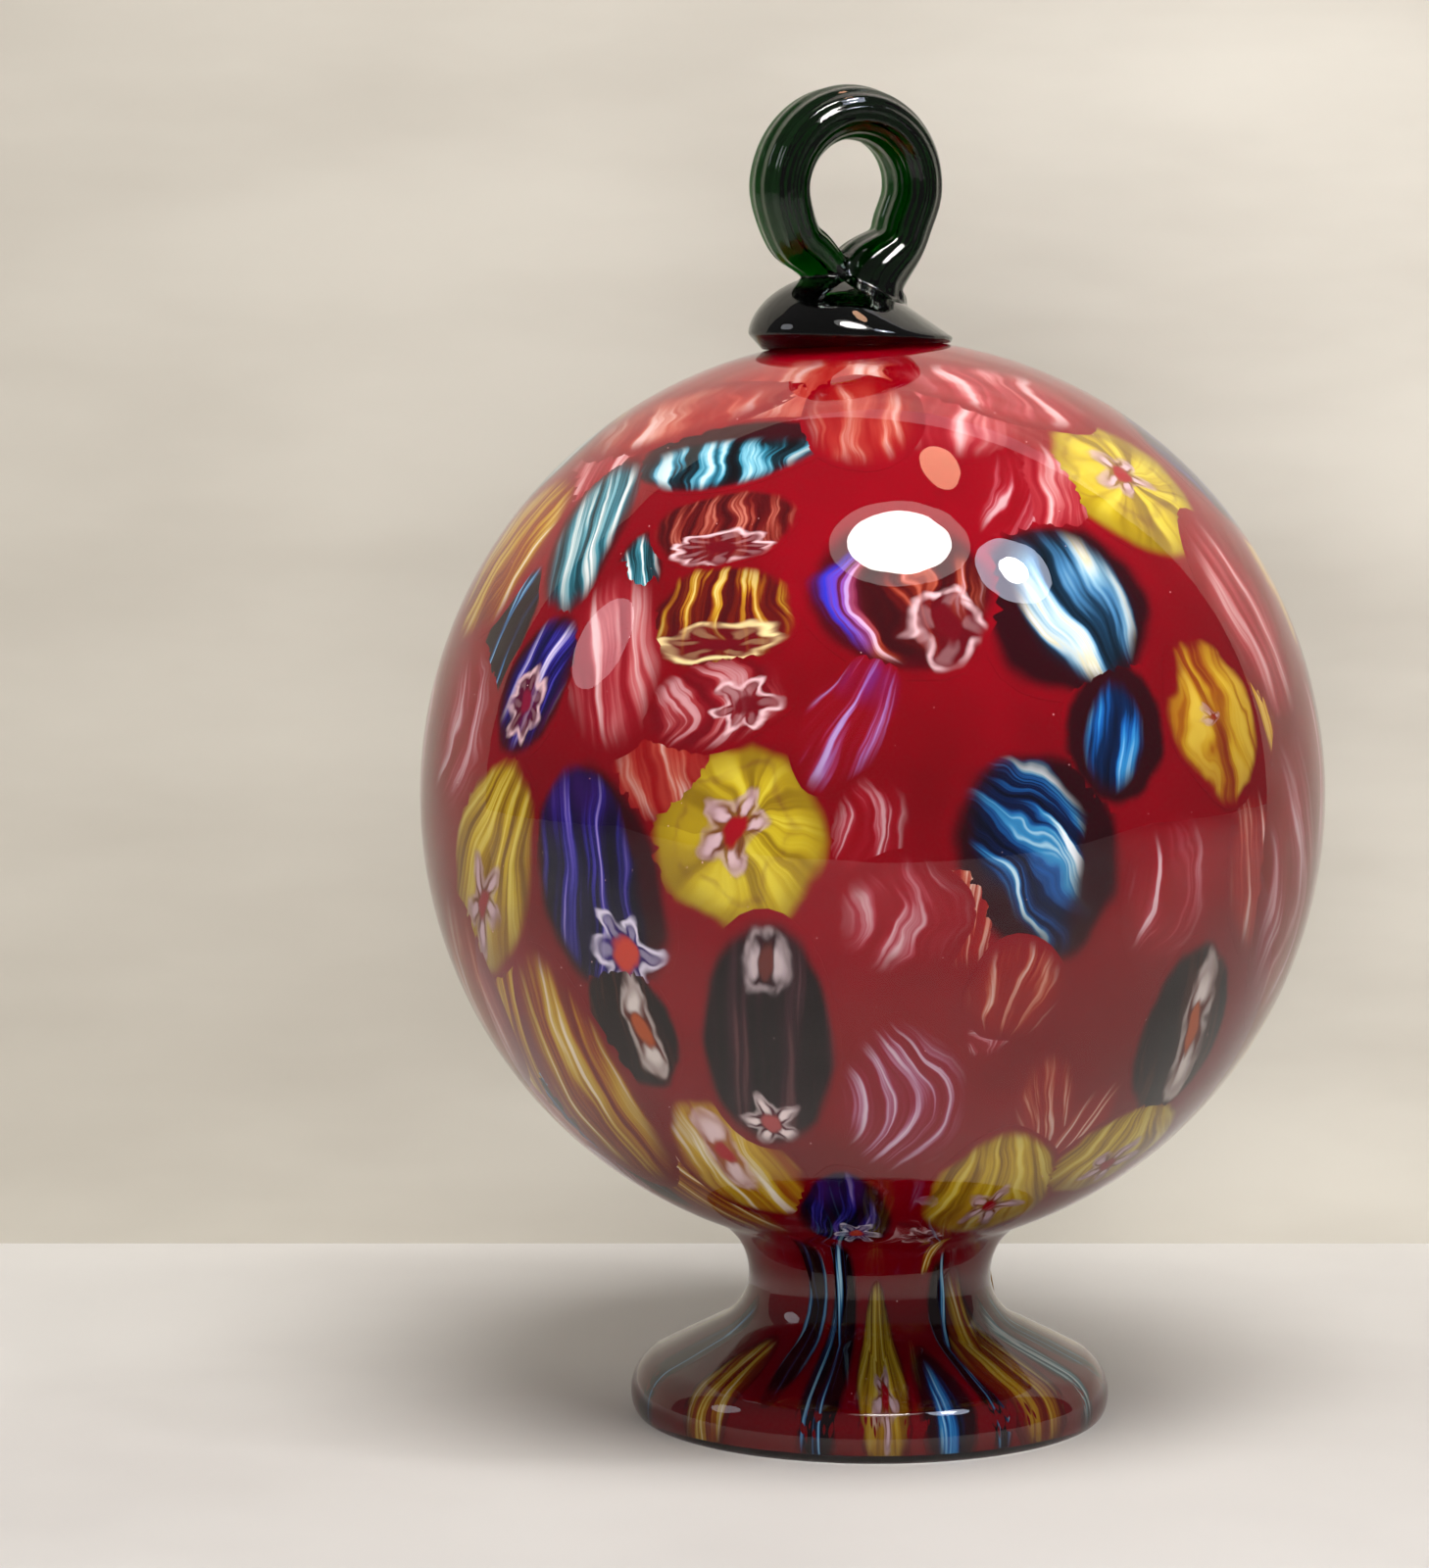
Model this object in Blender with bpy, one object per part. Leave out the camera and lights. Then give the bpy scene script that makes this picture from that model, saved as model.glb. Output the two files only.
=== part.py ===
"""Hand-blown millefiori ornament: a ruby glass globe on a flared foot, with a green hanging loop.

Built the way the glass is gathered, from the inside out: a hollow ruby core, slices of
patterned cane (murrine) laid on it, a clear casing over them, and a green gather on top that
closes the blowing mouth and is pulled round into a hanging loop.

Metres, +Z up. The origin is the centre of the standing ring, on the table. The loop faces -Y.
"""
import math

import bmesh
import bpy
from mathutils import Vector

MM = 0.001

# --- Globe and foot: the outside of the clear casing ---------------------------------------
GLOBE_RADIUS = 49.5 * MM            # sideways
GLOBE_HALF_HEIGHT = 50.0 * MM       # up and down
FOOT_HEIGHT = 18.7 * MM             # table to the globe's own lowest point
WAIST_RADIUS = 13.4 * MM            # narrowest place of the neck
WAIST_DROP = 3.1 * MM               # how far the waist is below the globe's lowest point
COVE_RADIUS = 6.0 * MM              # hollow curve from the waist out on to the foot
FOOT_RADIUS = 26.5 * MM             # widest place of the foot
FOOT_EDGE_HEIGHT = 2.4 * MM         # height of that widest place
FOOT_EDGE_ROUND = 4.7 * MM          # round over the foot's upper edge
FOOT_UNDERCUT = 1.2 * MM            # how far the edge draws in again down to the table
MOUTH_RADIUS = 4.0 * MM             # blowing mouth, under the green gather

# --- Layers, from the outside in ------------------------------------------------------------
CASING_WALL = 1.2 * MM
SLICE_CLEARANCE = 0.5 * MM          # casing to slice: more than a facet's own sag
SLICE_THICKNESS = 0.8 * MM
GAP = 0.3 * MM                      # between pieces that touch
CORE_DEPTH = CASING_WALL + SLICE_CLEARANCE + SLICE_THICKNESS + GAP
CORE_WALL = 2.0 * MM
EDGE_GLASS = 3.6 * MM               # clear glass beyond the core, round the foot's edge
BASE_RECESS = 1.0 * MM              # core's underside, up from the table at its edge
BASE_DISH = 2.2 * MM                # and how much higher it is in the middle

# --- Green gather ---------------------------------------------------------------------------
PAD_RADIUS = 11.2 * MM              # collar that lies on the globe
PAD_OFFSET = -2.4 * MM              # its middle, sideways from the globe's axis
PAD_HEIGHT = 7.0 * MM
PAD_EDGE = 0.5 * MM                 # thickness of its thin edge, on the right
PAD_ROLL = 1.5 * MM                 # how high its full edge bulges out, on the left
PAD_TUCK = 0.12                     # share of its radius by which the full edge rolls under
LOOP_OFFSET = -2.9 * MM             # middle of the loop, sideways from the axis
LOOP_RADIUS = 8.0 * MM              # middle of the rod round the loop
LOOP_RISE = 16.3 * MM               # middle of the loop above the globe's top
LOOP_TURN = math.radians(25.0)      # loop turned about the upright axis
LOOP_LEAN = math.radians(5.0)       # loop leaning to the front
ROOT_SINK = 2.5 * MM                # where the rod starts, above the pad's underside
ROD_HALF_WIDTH = 3.0 * MM           # of the rod, across in the loop's own plane
ROD_HALF_DEPTH = 4.6 * MM           # and along the eye

# --- How finely round shapes are cut into faces ----------------------------------------------
TURN_STEPS = 40
GLOBE_STEPS = 16
CURVE_STEPS = 4
SLICE_SIDES = 12
ROD_SIDES = 12
PAD_SECTORS = 28

# --- Colours: name, base colour, alpha --------------------------------------------------------
RUBY = ("ruby_glass", (0.42, 0.004, 0.012), 1.0)
CLEAR = ("clear_glass", (0.95, 0.96, 0.95), 0.35)
GREEN = ("green_glass", (0.006, 0.06, 0.03), 0.9)
YELLOW = ("yellow_cane", (0.62, 0.45, 0.02), 1.0)
DARK = ("dark_cane", (0.035, 0.006, 0.02), 1.0)
BLUE = ("blue_cane", (0.03, 0.05, 0.35), 1.0)
TURQUOISE = ("turquoise_cane", (0.06, 0.36, 0.45), 1.0)
WHITE = ("white_cane", (0.72, 0.55, 0.55), 1.0)
RED = ("red_cane", (0.5, 0.08, 0.05), 1.0)
ORANGE = ("orange_cane", (0.7, 0.22, 0.08), 1.0)
VIOLET = ("violet_cane", (0.3, 0.08, 0.24), 1.0)

# --- Slices on the globe -----------------------------------------------------------------------
# name, colour, bearing from the front, latitude, width, length, lean of the length (degrees).
# Widths and lengths are angles too: a slice stretches with the bubble that it is blown on.
FRONT_SLICES = (
    ("yellow_flower", YELLOW, -18, 0, 19, 21, 0),
    ("yellow_flower", YELLOW, 49, 45, 20, 20, 20),
    ("dark_oval", DARK, -16, -26, 14, 27, 5),
    ("blue_star", BLUE, -38, -6, 15, 22, -9),
    ("dark_star", DARK, -36, -25, 10, 14, 0),
    ("white_stripe", WHITE, 26, 28, 18, 18, -6),
    ("blue_stripe", BLUE, 30, 12, 10, 12, 10),
    ("blue_swirl", TURQUOISE, 19, -2, 16, 20, -20),
    ("turquoise_arch", TURQUOISE, -33, 51, 18, 8, -14),
    ("red_bell", RED, -26, 39, 14, 8, -10),
    ("turquoise_stripe", TURQUOISE, -52, 38, 9, 18, -12),
    ("yellow_bell", YELLOW, -23, 27, 14, 10, -6),
    ("pink_stripe", WHITE, -38, 21, 10, 17, -15),
    ("red_lace", RED, -22, 16, 14, 8, -15),
    ("blue_lace", BLUE, -51, 17, 9, 14, 20),
    ("yellow_stripe", YELLOW, -73, 33, 15, 18, 10),
    ("white_lace", WHITE, -67, 10, 12, 16, 10),
    ("yellow_fan", YELLOW, -58, -6, 13, 24, 28),
    ("ruby_star", RED, 2, 30, 17, 15, 0),
    ("violet_trail", VIOLET, -5, 14, 8, 14, 28),
    ("yellow_lump", YELLOW, 47, 13, 13, 18, -14),
    ("pink_stripe", WHITE, 62, 25, 11, 20, -8),
    ("orange_stripe", ORANGE, -56, 58, 22, 10, -24),
    ("orange_stripe", ORANGE, -5, 58, 11, 14, -6),
    ("white_stripe", WHITE, 38, 64, 18, 11, 30),
    ("white_lace", WHITE, 2, -9, 12, 11, 0),
    ("orange_rays", ORANGE, 17, -19, 10, 12, 14),
    ("violet_arcs", VIOLET, 3, -35, 12, 20, -3),
    ("yellow_star", YELLOW, -27, -47, 13, 20, -8),
    ("yellow_stripe", YELLOW, -51, -35, 14, 28, 6),
    ("dark_star", DARK, 47, -27, 12, 20, -14),
    ("yellow_fan", YELLOW, 49, -46, 16, 14, -14),
    ("white_lace", WHITE, 66, -9, 14, 28, -8),
    ("blue_star", BLUE, -8, -59, 9, 17, 0),
    ("yellow_fan", YELLOW, 24, -53, 13, 20, -14),
    ("orange_stripe", ORANGE, -73, -24, 12, 20, 14),
)
# The back carries the same canes, in three staggered rows.
BACK_ROWS = (
    (46, 92, 5, 20, 17),            # latitude, first bearing, count, width, length (degrees)
    (8, 92, 5, 19, 22),
    (-30, 104, 4, 17, 24),
)
BACK_PITCH = (42, 44, 52)           # bearing from one slice to the next in each row
BACK_CANES = (
    ("blue_star", BLUE), ("yellow_flower", YELLOW), ("white_lace", WHITE), ("dark_oval", DARK),
    ("turquoise_stripe", TURQUOISE), ("red_bell", RED), ("yellow_stripe", YELLOW),
)
BACK_LEANS = (-18, 12, 25, -6, 4)

# --- Slices drawn out down the neck and foot ----------------------------------------------------
# name, colour, bearing (degrees), width (degrees), from and to as shares of the way from the
# top of the neck down to the edge of the core's foot.
FOOT_SLICES = (
    ("yellow_star", YELLOW, 2, 15, 0.34, 0.98),
    ("dark_stripe", DARK, -15, 13, 0.05, 0.98),
    ("turquoise_stripe", TURQUOISE, 19, 14, 0.56, 0.98),
    ("yellow_stripe", YELLOW, -47, 20, 0.50, 0.98),
    ("yellow_stripe", YELLOW, 46, 24, 0.30, 0.96),
    ("dark_stripe", DARK, 128, 26, 0.10, 0.96),
    ("blue_stripe", BLUE, 222, 26, 0.25, 0.98),
)


# --- The outline: points of the outer surface, each with its outward normal -----------------------
def round_stretch(middle, radii, start, end, steps, hollow=False):
    """Stations along an elliptical stretch; angles run from outward (+r) towards up (+z)."""
    stations = []
    for step in range(steps + 1):
        angle = start + (end - start) * step / steps
        point = Vector((middle[0] + radii[0] * math.cos(angle), middle[1] + radii[1] * math.sin(angle)))
        normal = Vector((math.cos(angle) / radii[0], math.sin(angle) / radii[1])).normalized()
        stations.append((point, -normal if hollow else normal))
    return stations


def neck_fillet(globe_middle, waist_z):
    """Where the globe ends, and the radius of the curve that runs from there into the waist."""
    globe_radii = (GLOBE_RADIUS, GLOBE_HALF_HEIGHT)
    low, high = math.radians(-89.0), math.radians(-20.0)
    for _ in range(60):
        angle = (low + high) / 2
        point, normal = round_stretch(globe_middle, globe_radii, angle, angle, 1)[0]
        radius = (point.y - waist_z) / -normal.y
        if point.x + radius * normal.x - radius > WAIST_RADIUS:
            high = angle
        else:
            low = angle
    return angle, radius, normal


def outline(globe_steps=GLOBE_STEPS, curve_steps=CURVE_STEPS):
    """The outer surface from the mouth's rim to the table, as its globe, neck and foot stretches."""
    globe_middle = (0.0, FOOT_HEIGHT + GLOBE_HALF_HEIGHT)
    waist_z = FOOT_HEIGHT - WAIST_DROP
    mouth_angle = math.acos(MOUTH_RADIUS / GLOBE_RADIUS)
    end_angle, fillet, end_normal = neck_fillet(globe_middle, waist_z)
    globe = round_stretch(globe_middle, (GLOBE_RADIUS, GLOBE_HALF_HEIGHT), mouth_angle, end_angle, globe_steps)

    fillet_start = math.atan2(-end_normal.y, -end_normal.x)
    neck = round_stretch(
        (WAIST_RADIUS + fillet, waist_z), (fillet, fillet), fillet_start, math.pi, curve_steps, hollow=True)

    cove = Vector((WAIST_RADIUS + COVE_RADIUS, waist_z))
    edge = Vector((FOOT_RADIUS - FOOT_EDGE_ROUND, FOOT_EDGE_HEIGHT))
    across = edge - cove
    slope = math.atan2(across.x, across.y) - math.acos(-(COVE_RADIUS + FOOT_EDGE_ROUND) / across.length)
    cove_end = 1.5 * math.pi - slope
    foot = round_stretch(cove, (COVE_RADIUS, COVE_RADIUS), math.pi, cove_end, curve_steps, hollow=True)
    foot += round_stretch(
        edge, (FOOT_EDGE_ROUND, FOOT_EDGE_ROUND), math.pi / 2 - slope, 0.0, curve_steps)

    under_middle = (FOOT_RADIUS - FOOT_UNDERCUT, FOOT_EDGE_HEIGHT)
    under = round_stretch(under_middle, (FOOT_UNDERCUT, FOOT_EDGE_HEIGHT), 0.0, -math.pi / 2, 3)
    return globe, neck[1:] + foot[1:], under[1:]


def sunk(stations, depth):
    """The same stretch, a given depth below the surface."""
    return [point - depth * normal for point, normal in stations]


class Meridian:
    """The outer surface by its length from the mouth's rim, for laying slices on it."""

    def __init__(self):
        globe, neck_and_foot, _ = outline(240, 40)
        self.stations = globe + neck_and_foot
        self.lengths = [0.0]
        for (before, _), (after, _) in zip(self.stations, self.stations[1:]):
            self.lengths.append(self.lengths[-1] + (after - before).length)
        self.neck_length = self.lengths[len(globe) - 1]
        core_edge = FOOT_RADIUS - EDGE_GLASS - GAP
        reaching = [
            length for length, (point, normal) in zip(self.lengths, self.stations)
            if length > self.neck_length and (point - CASING_WALL * normal).x < core_edge]
        self.foot_length = reaching[-1]

    def at(self, length):
        """Point and outward normal at a length along the outline."""
        length = min(max(length, 0.0), self.foot_length)
        index = 1
        while self.lengths[index] < length and index < len(self.lengths) - 1:
            index += 1
        start, end = self.lengths[index - 1], self.lengths[index]
        share = (length - start) / (end - start)
        point = self.stations[index - 1][0].lerp(self.stations[index][0], share)
        normal = self.stations[index - 1][1].lerp(self.stations[index][1], share)
        return point, normal.normalized()

    def length_at_latitude(self, latitude):
        """Length at which the globe's surface has a latitude, in degrees."""
        globe_z = math.sin(math.radians(latitude)) * GLOBE_HALF_HEIGHT + FOOT_HEIGHT + GLOBE_HALF_HEIGHT
        low, high = 0.0, self.neck_length
        for _ in range(40):
            middle = (low + high) / 2
            if self.at(middle)[0].y > globe_z:
                low = middle
            else:
                high = middle
        return low


# --- Scene and mesh helpers -------------------------------------------------------------------------
def clear_scene():
    """Remove every object that the file opened with."""
    for thing in list(bpy.data.objects):
        bpy.data.objects.remove(thing, do_unlink=True)


def glass(colour):
    """Principled material for one of the named colours, made once."""
    name, base, alpha = colour
    material = bpy.data.materials.get(name)
    if material is None:
        material = bpy.data.materials.new(name)
        material.use_nodes = True
        shader = material.node_tree.nodes["Principled BSDF"]
        shader.inputs["Base Color"].default_value = (*base, 1.0)
        shader.inputs["Roughness"].default_value = 0.05
        shader.inputs["Metallic"].default_value = 0.0
        shader.inputs["IOR"].default_value = 1.5
        shader.inputs["Alpha"].default_value = alpha
    return material


def add_object(name, bm, colour):
    """Turn a bmesh into a smooth-shaded object with its own material."""
    bmesh.ops.recalc_face_normals(bm, faces=bm.faces)
    mesh = bpy.data.meshes.new(name)
    bm.to_mesh(mesh)
    bm.free()
    mesh.shade_smooth()
    mesh.set_sharp_from_angle(angle=math.radians(40.0))
    mesh.materials.append(glass(colour))
    thing = bpy.data.objects.new(name, mesh)
    bpy.context.scene.collection.objects.link(thing)
    return thing


def turned(name, profile, closed, colour):
    """Spin a profile of (r, z) points about the Z axis into one closed body."""
    bm = bmesh.new()
    verts = [bm.verts.new((point[0], 0.0, point[1])) for point in profile]
    edges = [bm.edges.new(pair) for pair in zip(verts, verts[1:])]
    if closed:
        edges.append(bm.edges.new((verts[-1], verts[0])))
    bmesh.ops.spin(
        bm, geom=verts + edges, cent=(0, 0, 0), axis=(0, 0, 1), angle=2 * math.pi, steps=TURN_STEPS,
        use_merge=True)
    bmesh.ops.remove_doubles(bm, verts=bm.verts, dist=0.01 * MM)
    return add_object(name, bm, colour)


def skin_rings(bm, rings):
    """Join rings of the same number of vertices with faces, one to the next."""
    for lower, upper in zip(rings, rings[1:]):
        count = len(lower)
        for index in range(count):
            following = (index + 1) % count
            bm.faces.new((lower[index], lower[following], upper[following], upper[index]))


def close_with_point(bm, ring, tip):
    """Close a ring with a fan of triangles to one point."""
    apex = bm.verts.new(tip)
    for index, vert in enumerate(ring):
        bm.faces.new((vert, ring[(index + 1) % len(ring)], apex))


# --- The pieces -----------------------------------------------------------------------------------------
def make_casing():
    """Clear outer layer: thin over globe, neck and foot, thick round the foot's edge."""
    globe, neck_and_foot, under = outline()
    inner_edge = FOOT_RADIUS - EDGE_GLASS + GAP
    outside = sunk(globe + neck_and_foot + under, 0.0)
    inside = sunk(globe, CASING_WALL)
    inside += [point for point in sunk(neck_and_foot, CASING_WALL) if point.x < inner_edge]
    inside[0].x = MOUTH_RADIUS
    foot_wall = [Vector((inner_edge, 0.0)), Vector((inner_edge, inside[-1].y - GAP))]
    return turned("clear_casing", outside + foot_wall + inside[::-1], True, CLEAR)


def make_core():
    """Ruby bubble with its solid foot, open at the blowing mouth."""
    globe, neck_and_foot, _ = outline()
    edge = FOOT_RADIUS - EDGE_GLASS
    outside = sunk(globe, CORE_DEPTH)
    outside += [point for point in sunk(neck_and_foot, CORE_DEPTH) if point.x < edge - GAP]
    outside[0].x = MOUTH_RADIUS
    base = [Vector((edge, outside[-1].y - CASING_WALL)), Vector((edge, BASE_RECESS))]
    dish = [
        Vector((edge * share, BASE_RECESS + BASE_DISH * (1.0 - share ** 2))) for share in (0.75, 0.5, 0.25, 0.0)]

    inset = CORE_DEPTH + CORE_WALL
    cavity_middle = (0.0, FOOT_HEIGHT + GLOBE_HALF_HEIGHT)
    cavity_radii = (GLOBE_RADIUS - inset, GLOBE_HALF_HEIGHT - inset)
    mouth_angle = math.acos(MOUTH_RADIUS / cavity_radii[0])
    cavity = sunk(round_stretch(cavity_middle, cavity_radii, -math.pi / 2, mouth_angle, 10), 0.0)
    cavity[0].x = 0.0
    return turned("ruby_core", dish[::-1] + base[::-1] + outside[::-1] + cavity[::-1], False, RUBY)


def slice_patch(name, colour, place):
    """A lens-shaped slice that follows the surface.

    place maps (across, along), each from -1 to 1, to a bearing in radians and a point and
    normal of the outline.
    """
    surface_depth = CASING_WALL + SLICE_CLEARANCE
    bm = bmesh.new()

    def vertex(across, along, depth):
        bearing, (point, normal) = place(across, along)
        sunk_point = point - depth * normal
        return (sunk_point.x * math.sin(bearing), -sunk_point.x * math.cos(bearing), sunk_point.y)

    def ring(share, depth):
        angles = [2 * math.pi * side / SLICE_SIDES for side in range(SLICE_SIDES)]
        return [bm.verts.new(vertex(share * math.cos(a), share * math.sin(a), depth)) for a in angles]

    rim = ring(1.0, surface_depth + 0.35 * SLICE_THICKNESS)
    upper = ring(0.62, surface_depth)
    lower = ring(0.62, surface_depth + SLICE_THICKNESS)
    skin_rings(bm, [lower, rim, upper])
    close_with_point(bm, upper, vertex(0.0, 0.0, surface_depth))
    close_with_point(bm, lower, vertex(0.0, 0.0, surface_depth + SLICE_THICKNESS))
    return add_object(name, bm, colour)


def make_globe_slice(meridian, name, colour, bearing, latitude, width, length, lean):
    """A slice on the globe, by its bearing and latitude, its angular size and its lean."""
    middle = meridian.length_at_latitude(latitude)
    half_width = math.radians(width) * GLOBE_RADIUS / 2
    half_length = math.radians(length) * min(GLOBE_RADIUS, GLOBE_HALF_HEIGHT) / 2
    lean = math.radians(lean)

    def place(across, along):
        east = across * half_width * math.cos(lean) + along * half_length * math.sin(lean)
        north = along * half_length * math.cos(lean) - across * half_width * math.sin(lean)
        station = meridian.at(middle - north)
        return math.radians(bearing) + east / station[0].x, station

    return slice_patch(name, colour, place)


def make_foot_slice(meridian, name, colour, bearing, width, start, end):
    """A slice drawn out down the neck and foot."""
    span = meridian.foot_length - meridian.neck_length
    middle = meridian.neck_length + span * (start + end) / 2

    def place(across, along):
        station = meridian.at(middle - along * span * (end - start) / 2)
        return math.radians(bearing + across * width / 2), station

    return slice_patch(name, colour, place)


def back_slices():
    """The slices of the staggered rows round the back."""
    slices = []
    for (latitude, first, count, width, length), pitch in zip(BACK_ROWS, BACK_PITCH):
        for _ in range(count):
            index = len(slices)
            kind, colour = BACK_CANES[index % len(BACK_CANES)]
            lean = BACK_LEANS[index % len(BACK_LEANS)]
            slices.append((kind, colour, first, latitude, width, length, lean))
            first += pitch
    return slices


def make_slices():
    """Every murrina, numbered within its kind."""
    meridian = Meridian()
    counts = {}

    def numbered(kind):
        counts[kind] = counts.get(kind, 0) + 1
        return f"murrina_{kind}_{counts[kind]:02d}"

    for kind, *rest in FRONT_SLICES + tuple(back_slices()):
        make_globe_slice(meridian, numbered(kind), *rest)
    for kind, *rest in FOOT_SLICES:
        make_foot_slice(meridian, numbered(kind), *rest)


def smooth_route(points, per_span):
    """Catmull-Rom curve through points of any number of coordinates."""
    route = []
    padded = [points[0], *points, points[-1]]
    for before, start, end, after in zip(padded, padded[1:], padded[2:], padded[3:]):
        for step in range(per_span):
            t = step / per_span
            route.append([
                0.5 * (2 * b + (c - a) * t + (2 * a - 5 * b + 4 * c - d) * t ** 2 + (3 * b - a - 3 * c + d) * t ** 3)
                for a, b, c, d in zip(before, start, end, after)])
    route.append(list(points[-1]))
    return route


def rod_route():
    """Middle of the green rod as (sideways, up, half width, half depth) about the loop's middle."""
    width, depth, reach = ROD_HALF_WIDTH, ROD_HALF_DEPTH, LOOP_RADIUS
    pad_floor = -LOOP_RISE + GAP + ROOT_SINK
    pad_top = -LOOP_RISE + GAP + PAD_HEIGHT
    knots = [
        (0.32 * reach, pad_floor, 1.6 * width, 1.25 * depth),
        (0.36 * reach, pad_top - 0.8 * MM, 1.45 * width, 1.15 * depth),
        (0.76 * reach, (pad_top - 0.47 * reach) / 2, 1.0 * width, depth),
    ]
    for degrees in range(-28, 212, 24):
        angle = math.radians(degrees)
        knots.append((reach * math.cos(angle), reach * math.sin(angle), width, depth))
    knots.append((-0.78 * reach, -0.68 * reach, 0.95 * width, 0.9 * depth))
    knots.append((-0.5 * reach, (pad_top - 0.68 * reach) / 2, 0.9 * width, 0.8 * depth))
    knots.append((-0.14 * reach, pad_top - 0.8 * MM, 0.75 * width, 0.7 * depth))
    return smooth_route(knots, 2)


def make_rod():
    """The loop itself: an oval rod swept up out of the pad, over and down again to it."""
    route = rod_route()
    turn = Vector((math.cos(LOOP_TURN), math.sin(LOOP_TURN), 0.0))
    facing = Vector((-math.sin(LOOP_TURN), math.cos(LOOP_TURN), 0.0))
    upright = Vector((0, 0, 1)) * math.cos(LOOP_LEAN) - facing * math.sin(LOOP_LEAN)
    along_eye = turn.cross(upright)
    middle = Vector((LOOP_OFFSET, 0.0, FOOT_HEIGHT + 2 * GLOBE_HALF_HEIGHT + LOOP_RISE))
    centres = [middle + turn * side + upright * up for side, up, _, _ in route]

    bm = bmesh.new()
    rings = []
    for index, (centre, (_, _, width, depth)) in enumerate(zip(centres, route)):
        ahead = centres[min(index + 1, len(centres) - 1)] - centres[max(index - 1, 0)]
        outward = ahead.cross(along_eye).normalized()
        ring = []
        for side in range(ROD_SIDES):
            angle = 2 * math.pi * side / ROD_SIDES
            ring.append(bm.verts.new(
                centre + outward * width * math.cos(angle) + along_eye * depth * math.sin(angle)))
        rings.append(ring)
    skin_rings(bm, rings)
    start_way = (centres[0] - centres[1]).normalized()
    end_way = (centres[-1] - centres[-2]).normalized()
    close_with_point(bm, rings[0], centres[0] + start_way * 0.3 * ROD_HALF_WIDTH)
    close_with_point(bm, rings[-1], centres[-1] + end_way * 0.6 * ROD_HALF_WIDTH)
    return add_object("rod", bm, GREEN)


def globe_top_at(x, y):
    """Height of the globe's outer surface above the table near its top."""
    share = (x * x + y * y) / GLOBE_RADIUS ** 2
    return FOOT_HEIGHT + GLOBE_HALF_HEIGHT * (1.0 + math.sqrt(1.0 - share))


def make_gather():
    """Green collar lying on the globe, full on one side and drawn out thin on the other."""
    bm = bmesh.new()

    def vertex(sector, share, top):
        angle = 2 * math.pi * sector / PAD_SECTORS
        left = 0.5 - 0.5 * math.cos(angle)
        if not top:
            share *= 1.0 - left * PAD_TUCK
        x = PAD_OFFSET + share * PAD_RADIUS * math.cos(angle)
        y = share * PAD_RADIUS * math.sin(angle)
        height = 0.0
        if top:
            full = (1.0 - share ** 3) ** 0.55
            thin = (1.0 - share) ** 1.3
            edge = PAD_EDGE + left * PAD_ROLL
            height = edge + (PAD_HEIGHT - edge) * (left * full + (1.0 - left) * thin)
        return (x, y, globe_top_at(x, y) + GAP + height)

    def ring(share, top):
        return [bm.verts.new(vertex(sector, share, top)) for sector in range(PAD_SECTORS)]

    rings = [ring(share, False) for share in (0.3, 0.65, 0.97)]
    rings += [ring(share, True) for share in (1.0, 0.94, 0.84, 0.68, 0.5, 0.25)]
    skin_rings(bm, rings)
    close_with_point(bm, rings[0], vertex(0, 0.0, False))
    close_with_point(bm, rings[-1], vertex(0, 0.0, True))
    gather = add_object("hanging_loop", bm, GREEN)

    rod = make_rod()
    rod.hide_render = True
    rod.display_type = "WIRE"
    weld = gather.modifiers.new("weld_rod", "BOOLEAN")
    weld.operation = "UNION"
    weld.solver = "EXACT"
    weld.use_self = True
    weld.object = rod
    return gather


def main():
    clear_scene()
    make_core()
    make_slices()
    make_casing()
    make_gather()


main()
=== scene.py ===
"""Looks of a hand-blown millefiori ornament in its CAD frame.

A ruby glass bubble on a flared foot carries slices of patterned cane under a clear casing, and a
ribbed green gather on top is pulled round into a hanging loop. Metres, +Z up, front towards -Y.
"""
import logging
import math
from dataclasses import dataclass, field, replace
from enum import Enum
from typing import Callable, Optional, Union

import bmesh
import bpy
import numpy as np
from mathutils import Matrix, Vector


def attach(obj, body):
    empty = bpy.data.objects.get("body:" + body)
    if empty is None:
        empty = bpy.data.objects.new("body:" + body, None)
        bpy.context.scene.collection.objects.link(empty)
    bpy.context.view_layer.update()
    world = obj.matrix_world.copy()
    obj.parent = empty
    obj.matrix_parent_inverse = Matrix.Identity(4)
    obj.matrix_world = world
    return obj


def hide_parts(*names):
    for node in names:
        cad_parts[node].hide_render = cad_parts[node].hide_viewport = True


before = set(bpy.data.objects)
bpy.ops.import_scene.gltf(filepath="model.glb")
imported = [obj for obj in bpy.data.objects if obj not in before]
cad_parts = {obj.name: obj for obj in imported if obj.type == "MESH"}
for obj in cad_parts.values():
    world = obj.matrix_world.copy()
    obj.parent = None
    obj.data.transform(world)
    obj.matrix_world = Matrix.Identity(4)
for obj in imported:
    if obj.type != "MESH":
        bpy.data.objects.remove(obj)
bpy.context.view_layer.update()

LOG = logging.getLogger("millefiori")

MM = 0.001
TURN = 2 * math.pi
SHARP = math.radians(50.0)      # faces that meet at more than this show an edge
MERGE = 0.002 * MM              # points nearer than this become one
SLICE_COLUMNS = 33              # points round a slice
SLICE_TOP = 10                  # rows on a slice's top; the rim, the underside and its middle follow
SLICE_ROWS = SLICE_TOP + 3
ROD_COLUMNS = 169               # points round the rod, twelve to a rib
CANE_FOOT_SHADE = 0.8                # how much the painted shade on the neck and foot darkens the canes
FOOT_SHADE = (9.0 * MM, 23.0 * MM, 0.45)    # painted shade on the foot: heights between which it fades out upwards, and its dimmest
ROUNDING = 0.5                  # how much a cane darkens towards its sides

Colour = tuple[float, float, float]


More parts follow.
